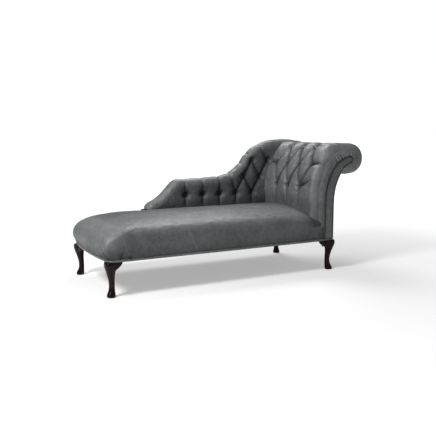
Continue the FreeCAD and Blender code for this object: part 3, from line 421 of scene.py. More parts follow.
# a closed leather piece from rings of points, with one cap at each end
def ringPiece(name, grid, crest):
    rows, columns = grid.shape[:2]
    index = np.arange(rows * columns).reshape(rows, columns)
    nextColumn = np.roll(index, -1, axis=1)
    quads = np.stack([index[:-1], nextColumn[:-1], nextColumn[1:], index[1:]], axis=-1).reshape(-1, 4)
    faces = quads.tolist() + [index[0, ::-1].tolist(), index[-1].tolist()]
    crest = np.broadcast_to(crest, (rows, columns)).ravel()
    return meshOf(name, grid.reshape(-1, 3), faces, materials["leather"], crest)

cloth = {"frames": 16, "pressure": 3.0, "extra": 0.004, "tension": 18.0, "bending": 1.6, "mass": 0.3, "quality": 4,
         "cap": 0.005, "even": 60}

# lets a cover settle over its filling as cloth, held where it is tacked or tucked; no point moves past the cap
def relaxCloth(made, held):
    rest = np.empty(len(made.data.vertices) * 3)
    made.data.vertices.foreach_get("co", rest)
    rest = rest.reshape(-1, 3)
    weights = held(rest)
    group = made.vertex_groups.new(name="held")
    levels = np.round(weights, 1)
    for level in np.unique(levels):
        group.add(np.where(levels == level)[0].tolist(), float(level), "REPLACE")
    modifier = made.modifiers.new("cover", "CLOTH")
    settings = modifier.settings
    settings.quality, settings.mass, settings.vertex_group_mass = cloth["quality"], cloth["mass"], "held"
    settings.tension_stiffness = settings.compression_stiffness = cloth["tension"]
    settings.bending_stiffness = cloth["bending"]
    settings.use_pressure, settings.uniform_pressure_force = True, cloth["pressure"]
    settings.shrink_min = -cloth["extra"]
    settings.effector_weights.gravity = 0
    modifier.collision_settings.use_collision = False
    modifier.point_cache.frame_start, modifier.point_cache.frame_end = 1, cloth["frames"]
    for step in range(1, cloth["frames"] + 1):
        bpy.context.scene.frame_set(step)
    seen = made.evaluated_get(bpy.context.evaluated_depsgraph_get())
    moved = np.empty(len(rest) * 3)
    seen.data.vertices.foreach_get("co", moved)
    move = moved.reshape(-1, 3) - rest
    length = np.linalg.norm(move, axis=1, keepdims=True)
    cap = cloth["cap"]
    move = move * (cap * np.tanh(length / cap) / np.maximum(length, 1e-9))
    # stretched leather carries the move on smoothly to its neighbours
    edges = np.empty(len(made.data.edges) * 2, dtype=np.int64)
    made.data.edges.foreach_get("vertices", edges)
    first, second = edges.reshape(-1, 2).T
    count = np.bincount(edges, minlength=len(rest))[:, None]
    for _ in range(cloth["even"]):
        around = np.zeros_like(move)
        np.add.at(around, first, move[second])
        np.add.at(around, second, move[first])
        move = 0.5 * move + 0.5 * around / count
    move = move * (1 - weights)[:, None]
    made.modifiers.remove(modifier)
    made.vertex_groups.remove(group)
    bpy.context.scene.frame_set(1)
    made.data.vertices.foreach_set("co", (rest + move).ravel())
    made.data.update()
    print("cloth moved", made.name, round(float(length.mean()) * 1000, 2), round(float(length.max()) * 1000, 2))

# the facing's edge: up its inner side, round the roll's eye and down its outer side to the band
facingCurve = {"start": (0.582, 0.205), "runs": [("line", 0.263), ("arc", 0.360, 32.5), ("arc", 0.205, 47.5),
               ("arc", 0.026, 172), ("arc", 0.1475, -41), ("arc", 0.3725, -31), ("line", 0.30)], "endZ": 0.205}
facingPath = walkPath(facingCurve["start"], 0, facingCurve["runs"])
lastRun = slice(-300, None)  # a point per millimetre
facingPath["total"] = np.interp(-facingCurve["endZ"], -facingPath["points"][lastRun, 1],
                                facingPath["lengths"][lastRun])


# Scroll end: the buttoned inside, the roll and its pleated front face

# rows are length up the cover and number of buttons; padLength and facingLength pair the pad's edge with the facing's
scroll = {"start": (0.491, 0.290), "below": 0.100, "rearY": 0.2447, "frontY": -0.3303,
          "turn": [("line", 0.198), ("arc", 0.468, 40.5), ("arc", 0.116, 49.5), ("line", 0.128), ("arc", 0.1015, 180),
                   ("line", 0.130)],
          "rows": ((0.160, 3), (0.320, 4), (0.466, 3)), "pitch": 0.137, "middleY": -0.016, "buttonSeat": 0.004,
          "pull": 0.043, "fold": 0.032, "width": 0.026, "pillow": 0.008, "ripple": (0.0016, 0.0008),
          "padLength": (-0.100, 0, 0.429, 0.529, 0.657, 0.816, 0.976, 1.106),
          "facingLength": (0.085, 0.185, 0.522, 0.601, 0.650, 0.690, 0.745, 0.830), "hidden": 0.010,
          "corner": (0.044, 0.058), "faceStart": 0.40, "faceEnd": 1.02, "pleats": 17, "pleatDepth": 0.0100,
          "pleatWidth": 0.15, "puff": 0.010, "tuck": 0.004, "stations": 372, "counts": (152, 26, 22)}

def scrollButtonPlaces():
    return [(length, scroll["middleY"] + scroll["pitch"] * (i - (count - 1) / 2))
            for length, count in scroll["rows"] for i in range(count)]

# folds as (length, y, length, y, depth, depth, width): the diamonds, then the runs to the seat, the roll and both ends
def scrollFolds():
    places, folds = scrollButtonPlaces(), []
    low, mid, high = places[:3], places[3:7], places[7:]
    pull, width = scroll["fold"], scroll["width"]
    for s0, y0 in low + high:
        for s1, y1 in mid:
            if abs(y0 - y1) < 0.6 * scroll["pitch"]:
                deep = pull * (1.0 if (y1 - y0) * (s1 - s0) < 0 else 0.86)
                folds.append((s0, y0, s1, y1, deep, deep, width))
    for s0, y0 in low:
        folds.append((s0, y0, 0.02, y0 + 0.004, pull, 0.002, width * 0.8))
    for s0, y0 in high:
        folds.append((s0, y0, 0.62, y0 + 0.010, pull, 0.010, width * 0.9))
        folds.append((0.62, y0 + 0.010, 0.86, y0 + 0.012, 0.010, 0.001, width * 0.7))
    for (s0, y0), rise, endY, deep, share in ((mid[0], 0.012, -0.345, 0.008, 0.8), (mid[3], 0, 0.262, 0.018, 1),
                                              (low[0], 0.05, -0.30, 0.001, 1), (high[0], 0.06, -0.325, 0.002, 0.8)):
        folds.append((s0, y0, s0 + rise, endY, pull, deep, width * share))
    return folds

# each section runs from the rear across the cover, round its front corner and down the front face to the facing
def scrollSections(path):
    stations = np.linspace(0, path["total"], scroll["stations"])
    x, z, nx, nz = onPath(path, stations)
    s = stations - scroll["below"]
    least, most = scroll["corner"]
    radius = least + (most - least) * smoothStep(s, 0.30, 0.60)
    mainCount, roundCount, faceCount = scroll["counts"]
    fx, fz, fnx, fnz = onPath(facingPath, np.interp(s, scroll["padLength"], scroll["facingLength"]))
    fx, fz = fx - fnx * scroll["hidden"], fz - fnz * scroll["hidden"]
    turn = np.linspace(0, math.pi / 2, roundCount)
    share = np.linspace(0, 1, faceCount + 1)[1:]
    lean = np.concatenate([np.ones(mainCount), np.cos(turn), np.zeros(faceCount)])
    faceShare = np.concatenate([np.zeros(mainCount), np.zeros(roundCount), share])
    roundShare = np.concatenate([np.zeros(mainCount), np.linspace(0, 1, roundCount), np.ones(faceCount)])
    rows = []
    for i, r in enumerate(radius):
        cornerY = scroll["frontY"] + r
        top = np.linspace(scroll["rearY"], cornerY, mainCount, endpoint=False)
        faceFrom, faceTo = np.array([x[i] - nx[i] * r, z[i] - nz[i] * r]), np.array([fx[i], fz[i]])
        inset = np.concatenate([np.zeros(mainCount), r * (1 - np.cos(turn))])
        y = np.concatenate([top, cornerY - r * np.sin(turn), np.full(faceCount, scroll["frontY"])])
        px = np.concatenate([x[i] - nx[i] * inset, faceFrom[0] + share * (faceTo - faceFrom)[0]])
        pz = np.concatenate([z[i] - nz[i] * inset, faceFrom[1] + share * (faceTo - faceFrom)[1]])
        reach = np.linalg.norm(faceTo - faceFrom)
        across = np.concatenate([top, cornerY - r * turn, cornerY - r * math.pi / 2 - share * reach])
        rows.append(np.stack([px, y, pz, across, lean, faceShare, roundShare, np.full(len(y), s[i]),
                              np.full(len(y), nx[i]), np.full(len(y), nz[i])], axis=1))
    return np.array(rows)

def makeScroll():
    path = walkPath(scroll["start"], 0, scroll["turn"])
    rows = scrollSections(path)
    px, py, pz, across, lean, faceShare, roundShare, length, nx, nz = rows.reshape(-1, rows.shape[2]).T
    depth, near = foldDepth(length, across, scrollFolds(), [(a, b, scroll["pull"]) for a, b in scrollButtonPlaces()])
    pillow = scroll["pillow"] * (1 - near) * smoothStep(length, 0.02, 0.12) * (1 - smoothStep(length, 0.50, 0.62))
    broad, fine = scroll["ripple"]
    ripple = broad * sheetNoise(length, across, 22, 3) + fine * softNoise(np.stack([px, py, pz], 1), 70, 5)
    spacing = (scroll["faceEnd"] - scroll["faceStart"]) / scroll["pleats"]
    beat = (length - scroll["faceStart"]) / spacing
    offBeat = np.abs(beat - np.round(beat))
    ruck = smoothStep(faceShare + 0.5 * roundShare, 0.30, 1.05) * (roundShare > 0.4) * smoothStep(length, 0.36, 0.46)
    uneven = 0.7 + 0.3 * np.sin(np.round(beat) * 2.4)
    ruckDepth = scroll["pleatDepth"] * np.exp(-offBeat / scroll["pleatWidth"]) * ruck * uneven
    puff = scroll["puff"] * np.sin(np.pi * np.clip(faceShare * 0.94, 0, 1)) ** 0.8 + 0.002 * roundShare
    tuck = scroll["tuck"] * smoothStep(faceShare, 0.78, 0.95)
    out = (pillow + ripple - depth) * lean
    forward = puff - tuck - ruckDepth + ripple * 0.6 - depth * (1 - lean)
    forward = forward * (roundShare > 0) * np.maximum(roundShare, 0.2)
    grid = np.stack([px + nx * out, py - forward, pz + nz * out], 1).reshape(rows.shape[0], -1, 3)
    # crest: lighter over the rounded front corner, the roll top and the pillows, partly wear and partly painted
    # highlight; darker in creases, folds, face pleats and where the cover tucks in at the facing, as painted shade
    corner = np.exp(-((roundShare - 0.5) / 0.35) ** 2) * (roundShare > 0)
    wornAndLitEdges = 0.54 + (0.06 + 0.26 * smoothStep(length, 0.30, 0.55)) * corner + 0.42 * smoothStep(length, 0.36, 0.56)
    crest = np.clip(wornAndLitEdges + pillow * 30 - near * 0.34 - np.clip(depth / 0.030, 0, 1) * 0.42
                    - 0.45 * smoothStep(faceShare, 0.84, 0.99) - ruckDepth * 55, 0, 1).reshape(grid.shape[:2])
    # the inner side closes the filling behind the face
    innerFront, innerRear = grid[:, -1].copy(), grid[:, -1].copy()
    innerFront[:, 1], innerRear[:, 1] = -0.2, scroll["rearY"]
    grid = np.concatenate([grid, innerFront[:, None], innerRear[:, None]], axis=1)
    made = ringPiece("scrollPad", grid, np.concatenate([crest, np.full((len(grid), 2), 0.3)], axis=1))
    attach(made, "root")
    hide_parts("arm_inside_cover", "arm_stuffing")
    deep, buttonsAt = scroll["pull"] - scroll["buttonSeat"], []
    for length, y in scrollButtonPlaces():
        bx, bz, bnx, bnz = onPath(path, length + scroll["below"])
        buttonsAt.append(((float(bx - bnx * deep), y, float(bz - bnz * deep)), (float(bnx), 0.0, float(bnz))))
    return buttonsAt

scrollButtonsAt = makeScroll()
print("scroll pad made")


# Low back: buttoned face, rounded top edge, seam behind

# rows are height, first place along the row and number of buttons; over lists where a fold crosses the top edge
back = {"start": (-0.4249, 0.4010), "heading": 12, "faceY": 0.245, "rearY": 0.340, "baseZ": 0.300,
        "turn": [("arc", 0.055, 56), ("arc", 0.290, -23.5), ("line", 0.0756), ("arc", 0.090, 46.5),
                 ("arc", 2.600, -5.5), ("line", 0.041), ("arc", 0.279, -49.4), ("arc", 0.325, 46.6),
                 ("arc", 0.900, 19.2), ("arc", 0.1015, 168.1), ("line", 0.130)],
        "firstX": -0.140, "pitch": 0.131, "rows": ((0.482, 0, 5), (0.594, 3.5, 2), (0.706, 4, 2)),
        "over": ((0, -0.144, 0.565), (1, -0.011, 0.573), (2, 0.122, 0.583), (3, 0.198, 0.626), (5, 0.282, 0.706),
                 (7, 0.345, 0.765), (8, 0.452, 0.808)), "overDepth": (0.008, 0.005), "edgePoints": 1700,
        "pull": 0.040, "fold": 0.024, "width": 0.025, "buttonSeat": 0.004, "swell": 0.005, "ripple": (0.0016, 0.0007),
        "counts": (84, 44), "stations": (330, 60)}

def backButtonPlaces():
    return [(back["firstX"] + back["pitch"] * (first + i), z)
            for z, first, count in back["rows"] for i in range(count)]

def backFolds(path, r):
    places, folds, edge = backButtonPlaces(), [], path["points"][:back["edgePoints"]]
    pull, width = back["fold"], back["width"]
    for ax, az in places[:5]:
        folds.append((ax, az, ax - 0.004, 0.40, pull, 0.004, width * 0.8))
    for first, second in ((3, 5), (4, 5), (4, 6), (5, 7), (6, 7), (6, 8)):  # the diamonds up the sweep
        folds.append((*places[first], *places[second], pull, pull, width))
    deep, end = back["overDepth"]
    for button, toX, toZ in back["over"]:
        near = int(np.argmin((edge[:, 0] - toX) ** 2 + (edge[:, 1] - toZ) ** 2))
        turn = math.radians(path["turns"][near])
        ox, oz = -math.cos(turn), math.sin(turn)
        (ex, ez), rim = edge[near], r * 1.3
        fromX, fromZ = ex - ox * r, ez - oz * r
        folds.append((*places[button], fromX, fromZ, pull, deep, width))
        folds.append((fromX, fromZ, ex + ox * rim, ez + oz * rim, deep, end, width * 0.55))
    return folds

def makeBack():
    path = walkPath(back["start"], back["heading"], back["turn"])
    r = (back["rearY"] - back["faceY"]) / 2
    along, rolled = back["stations"]
    stations = np.concatenate([np.linspace(0, 1.20, along, endpoint=False), np.linspace(1.20, path["total"], rolled)])
    x, z, nx, nz = onPath(path, stations)
    cx, cz = x - nx * r, z - nz * r
    bx = np.minimum(cx, 0.60) + 0.05 * smoothStep(stations, 1.25, path["total"])
    bz = back["baseZ"] + 0.24 * smoothStep(stations, 1.15, path["total"])
    faceCount, roundCount = back["counts"]
    share = np.linspace(0, 1, faceCount, endpoint=False)
    turn = np.linspace(-math.pi / 2, math.pi / 2, roundCount)
    past = r * (turn + math.pi / 2)
    py = np.concatenate([np.full(faceCount, back["faceY"]), back["faceY"] + r + r * np.sin(turn)])
    ny = np.concatenate([-np.ones(faceCount), np.sin(turn)])
    lean = np.concatenate([np.zeros(faceCount), np.cos(turn)])
    over = np.concatenate([np.zeros(faceCount), past / (r * math.pi)])
    rows = []
    for i in range(len(stations)):
        faceX, faceZ = bx[i] + share * (cx[i] - bx[i]), bz[i] + share * (cz[i] - bz[i])
        px = np.concatenate([faceX, cx[i] + nx[i] * r * np.cos(turn)])
        pz = np.concatenate([faceZ, cz[i] + nz[i] * r * np.cos(turn)])
        ua = np.concatenate([faceX, cx[i] + nx[i] * past])
        ub = np.concatenate([faceZ, cz[i] + nz[i] * past])
        rows.append(np.stack([px, py, pz, ua, ub, nx[i] * lean, ny, nz[i] * lean, over], axis=1))
    px, py, pz, ua, ub, ox, oy, oz, over = np.array(rows).reshape(-1, 9).T
    places = backButtonPlaces()
    depth, near = foldDepth(ua, ub, backFolds(path, r), [(a, b, back["pull"]) for a, b in places])
    broad, fine = back["ripple"]
    ripple = broad * sheetNoise(ua, ub, 20, 9) + fine * softNoise(np.stack([px, py, pz], 1), 75, 11)
    out = (back["swell"] * (1 - near) + ripple - depth) * (1 - smoothStep(over, 0.75, 1.0))
    grid = np.stack([px + ox * out, py + oy * out, pz + oz * out], 1).reshape(len(rows), -1, 3)
    # crest: lighter over the rounded top edge, partly wear and partly painted highlight; darker at creases, folds and
    # low on the face near the seat, as painted shade
    rim = np.exp(-((over - 0.38) / 0.26) ** 2) * (over > 0)
    crest = 0.52 + 0.42 * rim - near * 0.30 - np.clip(depth / 0.030, 0, 1) * 0.46
    crest = crest - 0.35 * (1 - smoothStep(pz, 0.41, 0.47)) * (over == 0)
    crest = np.clip(crest, 0, 1).reshape(grid.shape[:2])
    rear = np.stack([bx, np.full(len(bx), back["rearY"] - 0.002), bz], 1)
    grid = np.concatenate([grid, rear[:, None]], axis=1)
    made = ringPiece("backPad", grid, np.concatenate([crest, np.full((len(grid), 1), 0.5)], axis=1))
    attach(made, "root")
    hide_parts("back_inside_cover", "back_stuffing")
    deep = back["faceY"] + back["pull"] - back["buttonSeat"]
    return path, [((a, deep, b), (0.0, -1.0, 0.0)) for a, b in places]

backEdge, backButtonsAt = makeBack()
print("back pad made")


# Long seat: a sprung, stuffed seat under one leather cover

# darts are (place, height, place, height) along the foot end and the sides, from their blind end to the band
seat = {"side": ((-0.340, 0.200), -10, [("arc", 0.350, 20), ("arc", 0.072, 64), ("arc", 1.048, 15.6)]),
        "foot": ((-0.900, 0.200), -20, [("line", 0.050), ("arc", 0.084, 45), ("arc", 0.178, 50), ("arc", 0.480, 15)]),
        "headX": 0.588, "levels": 84, "sideCount": 186, "cornerCount": 26, "footCount": 96, "corner": (0.030, 0.16),
        "least": 0.004, "ripple": (0.0030, 0.0010, 0.0005), "bandPull": 0.0012, "tuck": 0.012,
        "endDarts": ((0.292, 0.268, 0.333, 0.206), (0.262, 0.240, 0.268, 0.206)),
        "sideDarts": ((-0.806, 0.262, -0.812, 0.206), (-0.760, 0.238, -0.762, 0.206)),
        "dartDepth": 0.009, "dartWidth": 0.0060,
        "frontLimit": (-0.345, 0.0128), "rearLimit": (0.346, 0.018)}  # widest reach, how far it draws in at the head

# the seat's plan at one level: from the head end along the front, round the bowed foot and back along the rear;
# front and rear are (where the side ends, shares of the way from there to the corner)
def seatPlan(halfWidth, footX, corner, front, rear, turnCount, footCount):
    straight = halfWidth - corner
    bowed = lambda y: footX + y * y / (2 * body["bowRadius"])
    cornerX = bowed(straight) + corner
    (frontEnd, frontShares), (rearEnd, rearShares) = front, rear
    turn = np.linspace(0, math.pi / 2, turnCount, endpoint=False)
    roundX, roundY = cornerX - corner * np.sin(turn), straight + corner * np.cos(turn)
    acrossY = np.linspace(-straight, straight, footCount)
    px = np.concatenate([frontEnd + frontShares * (cornerX - frontEnd), roundX, bowed(acrossY), roundX[::-1],
                         rearEnd + rearShares * (cornerX - rearEnd)])
    py = np.concatenate([np.full(len(frontShares), -halfWidth), -roundY, acrossY, roundY[::-1],
                         np.full(len(rearShares), halfWidth)])
    return px, py

# level rings up the seat, open at the head end
def seatRings():
    side, foot = walkPath(*seat["side"]), walkPath(*seat["foot"])
    bottom, top = body["railBottom"], side["points"][-1, 1]
    footHeights = bottom + (foot["points"][:, 1] - bottom) * (top - bottom) / (foot["points"][-1, 1] - bottom)
    share = np.linspace(0, 1, seat["levels"]) ** 0.92
    halfWidth, height, _, _ = onPath(side, share * side["total"])
    halfWidth = np.maximum(-halfWidth, seat["least"])
    halfWidth[-1] = seat["least"]
    footX = np.interp(height, footHeights, foot["points"][:, 0])
    low, more = seat["corner"]
    run = 1 - (1 - np.linspace(0, 1, seat["sideCount"], endpoint=False)) ** 1.35  # closer toward the foot
    front, rear = (seat["headX"], run), (seat["headX"], run[::-1])
    rows = []
    for w, z, e in zip(halfWidth, height, footX):
        corner = min(w * 0.98, low + more * float(smoothStep(z, 0.30, 0.415)))
        px, py = seatPlan(w, e, corner, front, rear, seat["cornerCount"], seat["footCount"])
        rows.append(np.stack([px, py, np.full(len(px), z)], axis=1))
    return np.array(rows)

# outward normals of the rings
def seatNormals(grid):
    normal = np.cross(np.gradient(grid, axis=1), np.gradient(grid, axis=0))
    normal = normal / np.maximum(np.linalg.norm(normal, axis=2, keepdims=True), 1e-9)
    middle, sides = np.array([-0.2, 0, 0.25]), slice(5, 40)
    turned = np.mean(np.sum(normal[sides] * (grid[sides] - middle), axis=2)) < 0
    return -normal if turned else normal

def dartShare(px, py, pz):
    crease = np.zeros_like(px)
    for place, zone, darts in ((np.abs(py), px < -0.860, seat["endDarts"]), (px, px > -0.865, seat["sideDarts"])):
        for a0, z0, a1, z1 in darts:
            da, dz = a1 - a0, z1 - z0
            t = np.clip(((place - a0) * da + (pz - z0) * dz) / (da ** 2 + dz ** 2), 0, 1)
            away = np.hypot(place - a0 - t * da, pz - z0 - t * dz)
            dart = np.exp(-away / seat["dartWidth"]) * smoothStep(t, -0.1, 0.6)
            crease = np.maximum(crease, dart * zone * (pz < 0.30) * (np.abs(py) > 0.2))
    return crease

# skin between the rings, flat caps across bottom and top, and the head end closed level by level
def seatFaces(levels, columns):
    index = np.arange(levels * columns).reshape(levels, columns)
    faces = np.stack([index[:-1, :-1], index[:-1, 1:], index[1:, 1:], index[1:, :-1]], axis=-1)
    faces = faces.reshape(-1, 4).tolist()
    for m in range(columns // 2):
        mirror = columns - 1 - m
        across = list(dict.fromkeys((m, m + 1, mirror - 1, mirror)))
        if len(across) > 2:
            faces.append(index[0, across[::-1]].tolist())
            faces.append(index[-1, across].tolist())
    for level in range(levels - 1):
        faces.append(index[[level, level + 1, level + 1, level], [0, 0, -1, -1]].tolist())
    return faces

# how firmly each point is held: the bottom edge, the head end and the tuck under the low back
def seatHeld(p):
    low = 1 - smoothStep(p[:, 2], 0.214, 0.236)
    head = smoothStep(p[:, 0], 0.44, 0.50)
    tucked = smoothStep(p[:, 1], 0.205, 0.240) * smoothStep(p[:, 0], -0.47, -0.42)
    return np.maximum(np.maximum(low, head), np.maximum(tucked, 0.05))

def makeSeat():
    grid = seatRings()
    flat, n = grid.reshape(-1, 3), seatNormals(grid).reshape(-1, 3)
    px, py, pz = flat.T
    broad, cross, fine = seat["ripple"]
    ripple = broad * softNoise(flat, 5.5, 21, 2) + fine * softNoise(flat, 80, 25)
    ripple = ripple + cross * softNoise(flat * [0.5, 1, 1], 30, 23)
    out = ripple * smoothStep(pz, 0.200, 0.225) - seat["bandPull"] * np.exp(-np.abs(pz - 0.214) / 0.008)
    toBack = np.exp(-np.clip(back["faceY"] - py, 0, 1) / 0.018) * smoothStep(px, -0.46, -0.40) * (pz > 0.34)
    toArm = np.exp(-np.clip(scroll["start"][0] - px, 0, 1) / 0.020) * (pz > 0.30)
    tucked = np.maximum(toBack, toArm)
    moved = flat + n * out[:, None]
    moved[:, 2] -= seat["tuck"] * tucked * smoothStep(pz, 0.30, 0.38)
    (front, frontIn), (rear, rearIn) = seat["frontLimit"], seat["rearLimit"]
    frontLimit = front + frontIn * smoothStep(px, 0.535, 0.582)
    rearLimit = rear - rearIn * smoothStep(px, -0.455, -0.415)
    moved[:, 1] = np.where(py < 0, np.maximum(moved[:, 1], frontLimit), np.minimum(moved[:, 1], rearLimit))
    crease = dartShare(px, py, pz)
    # crest: the top a little lighter, the front roll and the foot's roll lighter as painted highlight, plus a random
    # tone; darker in the darts, where the seat tucks under the back and the arm, along the band seam and towards the
    # bottom, as painted shade
    frontRollHighlight = np.exp(-((pz - 0.372) / 0.030) ** 2)
    footRollHighlight = np.exp(-((px + 0.872) / 0.055) ** 2) * smoothStep(pz, 0.235, 0.31)
    crest = (0.46 + 0.06 * smoothStep(pz, 0.35, 0.41) + 0.24 * frontRollHighlight + 0.06 * softNoise(flat, 4, 27, 2)
             + 0.54 * footRollHighlight - 0.75 * crease - 0.40 * tucked - 0.25 * np.exp(-np.abs(pz - 0.213) / 0.004)
             - 0.30 * (1 - smoothStep(pz, 0.20, 0.30)))
    made = meshOf("seatPad", moved, seatFaces(*grid.shape[:2]), materials["seatLeather"], np.clip(crest, 0, 1))
    relaxCloth(made, seatHeld)
    # the darts are pressed in once the cover has settled
    place = np.empty(len(flat) * 3)
    made.data.vertices.foreach_get("co", place)
    made.data.vertices.foreach_set("co", (place.reshape(-1, 3) - n * (crease * seat["dartDepth"])[:, None]).ravel())
    made.data.update()
    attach(made, "root")
    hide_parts("seat_cover", "seat_foam", "rail_wadding")

makeSeat()
print("seat pad made")


# Band along the bottom edge, outside back and outside scroll covers

# section is (outward, height) round the folded strip
band = {"corner": 0.028, "headX": 0.582, "rearX": -0.4335, "counts": (150, 8, 60, 48), "wave": 0.0006,
        "section": ((-0.004, 0.1995), (0.0012, 0.1988), (0.0030, 0.2005), (0.0034, 0.2055), (0.0030, 0.2105),
                    (0.0010, 0.2122), (-0.004, 0.2122))}

def makeBand():
    frontCount, turnCount, footCount, rearCount = band["counts"]
    front = (band["headX"], np.linspace(0, 1, frontCount, endpoint=False))
    rear = (band["rearX"], np.linspace(1, 0, rearCount))
    rings = []
    for out, z in band["section"]:
        px, py = seatPlan(body["halfDepth"] + out, body["footX"] - out, band["corner"], front, rear,
                          turnCount, footCount)
        rings.append(np.stack([px, py, np.full(len(px), z)], 1))
    grid = np.array(rings).transpose(1, 0, 2)
    grid[:, :, 2] += band["wave"] * np.sin(grid[:, :, 0] * 60) * (grid[:, :, 2] > 0.205)
    made = ringPiece("seatBand", grid, 0.62)
    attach(made, "root"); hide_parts("bottom_band")

outside = {"inset": 0.030, "leftX": -0.4335, "rollCentre": (0.8193, 0.7311), "rollRadius": 0.1015, "coverOut": 0.008,
           "bottom": 0.2005, "postX": 0.6622, "underRoll": 0.640, "thick": 0.0065, "columns": 40, "down": 0.62,
           "backY": (0.3405, 0.334), "backPuff": 0.0030, "wave": 0.0007, "scrollY": (-0.3300, 0.3400),
           "scrollPuff": 0.0040}

def makeOutsideBack():
    inset = outside["inset"]
    (midX, midZ), r = outside["rollCentre"], outside["rollRadius"] - inset
    x, z, nx, nz = onPath(backEdge, np.linspace(0, 1.70, 600))
    edgeX, edgeZ = x - nx * inset, z - nz * inset
    rising = edgeX < midX
    # columns stand closer where the cover narrows over the roll
    columnX = np.concatenate([np.linspace(outside["leftX"], 0.655, 170, endpoint=False),
                              np.linspace(0.655, 0.700, 40, endpoint=False),
                              np.linspace(0.700, midX, 26, endpoint=False),
                              midX + r * np.sin(np.linspace(0, 1.54, 24))])
    chord = np.sqrt(np.maximum(r * r - (columnX - midX) ** 2, 0))
    top = np.where(columnX < midX, np.interp(columnX, edgeX[rising], edgeZ[rising]), midZ + chord)
    down = np.linspace(facingPath["total"], facingPath["total"] - outside["down"], 400)
    dx, dz, dnx, dnz = onPath(facingPath, down)
    low = np.interp(columnX, dx + dnx * outside["coverOut"], dz + dnz * outside["coverOut"])
    low = np.where(columnX < outside["postX"], outside["bottom"], np.minimum(low, midZ - r))
    low = np.where(columnX > midX, midZ - chord, low)
    share = np.linspace(0, 1, outside["columns"])
    zs = low[:, None] + share[None] * (top - low)[:, None]
    xs = np.repeat(columnX[:, None], outside["columns"], axis=1)
    puff = outside["backPuff"] * np.sin(np.pi * share)[None] ** 0.6 * np.minimum(1, (top - low) / 0.15)[:, None]
    outer, inner = outside["backY"]
    rear = np.stack([xs, outer + puff + outside["wave"] * sheetNoise(xs, zs, 8, 31), zs], 2)
    front = np.stack([xs, np.full_like(xs, inner), zs], 2)[:, ::-1]
    made = ringPiece("backPanel", np.concatenate([rear, front], axis=1), 0.60)
    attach(made, "root"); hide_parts("back_outside_cover")

def makeOutsideScroll():
    y = np.linspace(*outside["scrollY"], 90)
    end = facingPath["total"]
    x, z, nx, nz = onPath(facingPath, np.linspace(end - outside["down"], end + 0.0045, 300))
    keep = (z < outside["underRoll"]) & (z > outside["bottom"] - 0.001)
    x, z, nx, nz = x[keep][::3], z[keep][::3], nx[keep][::3], nz[keep][::3]
    across = np.sin(np.pi * (y - y[0]) / (y[-1] - y[0]))[:, None]
    along = np.sin(np.pi * (z - z.min()) / (z.max() - z.min()))[None]
    puff = outside["scrollPuff"] * np.sqrt(np.clip(across * along, 0, 1))
    yy = np.repeat(y[:, None], len(x), axis=1)
    out = outside["coverOut"] + puff + outside["wave"] * sheetNoise(yy, z[None] + yy * 0, 9, 33)
    inside = outside["coverOut"] - outside["thick"] + yy * 0
    outer = np.stack([x + nx * out, yy, z + nz * out], 2)
    inner = np.stack([x + nx * inside, yy, z + nz * inside], 2)[:, ::-1]
    made = ringPiece("scrollOutside", np.concatenate([outer, inner], axis=1), 0.60)
    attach(made, "root")
    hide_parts("arm_outside_cover", "arm_outside_wadding")

makeBand()
makeOutsideBack()
makeOutsideScroll()
print("band and outside covers made")


# Front facing with its nails

facing = {"lineY": -0.3386, "backY": -0.3301, "puff": 0.0020, "edgeDrop": 0.0022, "wrap": 0.0009, "columns": 14,
          "stations": 240, "tipShare": 0.9985, "nailPitch": 0.0126, "nailInset": 0.0065, "nailEnds": 0.006,
          "nailSink": 0.0006, "footNails": (0.601, 0.636, 4), "footNailZ": 0.2115}
nail = {"Diameter": 0.0100, "Height": 0.0027}
button = {"Diameter": 0.020, "Height": 0.006, "Unevenness": 0.02}

# both edges of the facing at a share of the way from its foot to its tip
def facingAcross(share):
    tip = facingPath["lengths"][int(np.argmax(facingPath["points"][:, 0]))]
    left = onPath(facingPath, share * tip)
    right = onPath(facingPath, facingPath["total"] - share * (facingPath["total"] - tip))
    return left, right

def makeFacing():
    share = np.linspace(0, facing["tipShare"], facing["stations"])
    (lx, lz, lnx, lnz), (rx, rz, rnx, rnz) = facingAcross(share)
    wrap, drop = facing["wrap"], facing["edgeDrop"]
    lx, lz, rx, rz = lx + lnx * wrap, lz + lnz * wrap, rx + rnx * wrap, rz + rnz * wrap
    lz[0] = rz[0] = body["railBottom"]
    w = np.linspace(0, 1, facing["columns"])
    bulge = np.clip(np.sin(np.pi * w), 0, 1) ** 0.35
    frontY, rearY = facing["lineY"] + drop - (drop + facing["puff"]) * bulge, np.full(len(w), facing["backY"])
    rows = []
    for i in range(len(share)):
        px, pz = lx[i] + w * (rx[i] - lx[i]), lz[i] + w * (rz[i] - lz[i])
        rows.append(np.concatenate([np.stack([px, frontY, pz], 1), np.stack([px, rearY, pz], 1)[::-1]]))
    grid = np.array(rows)
    crest = np.full(grid.shape[:2], 0.62)
    # the two edges take a low crest, so the leather darkens them: painted shade in the gap along the facing's edge
    crest[:, [0, len(w) - 1]] = 0.25
    made = ringPiece("facingPanel", grid, crest)
    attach(made, "root"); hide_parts("facing_leather")

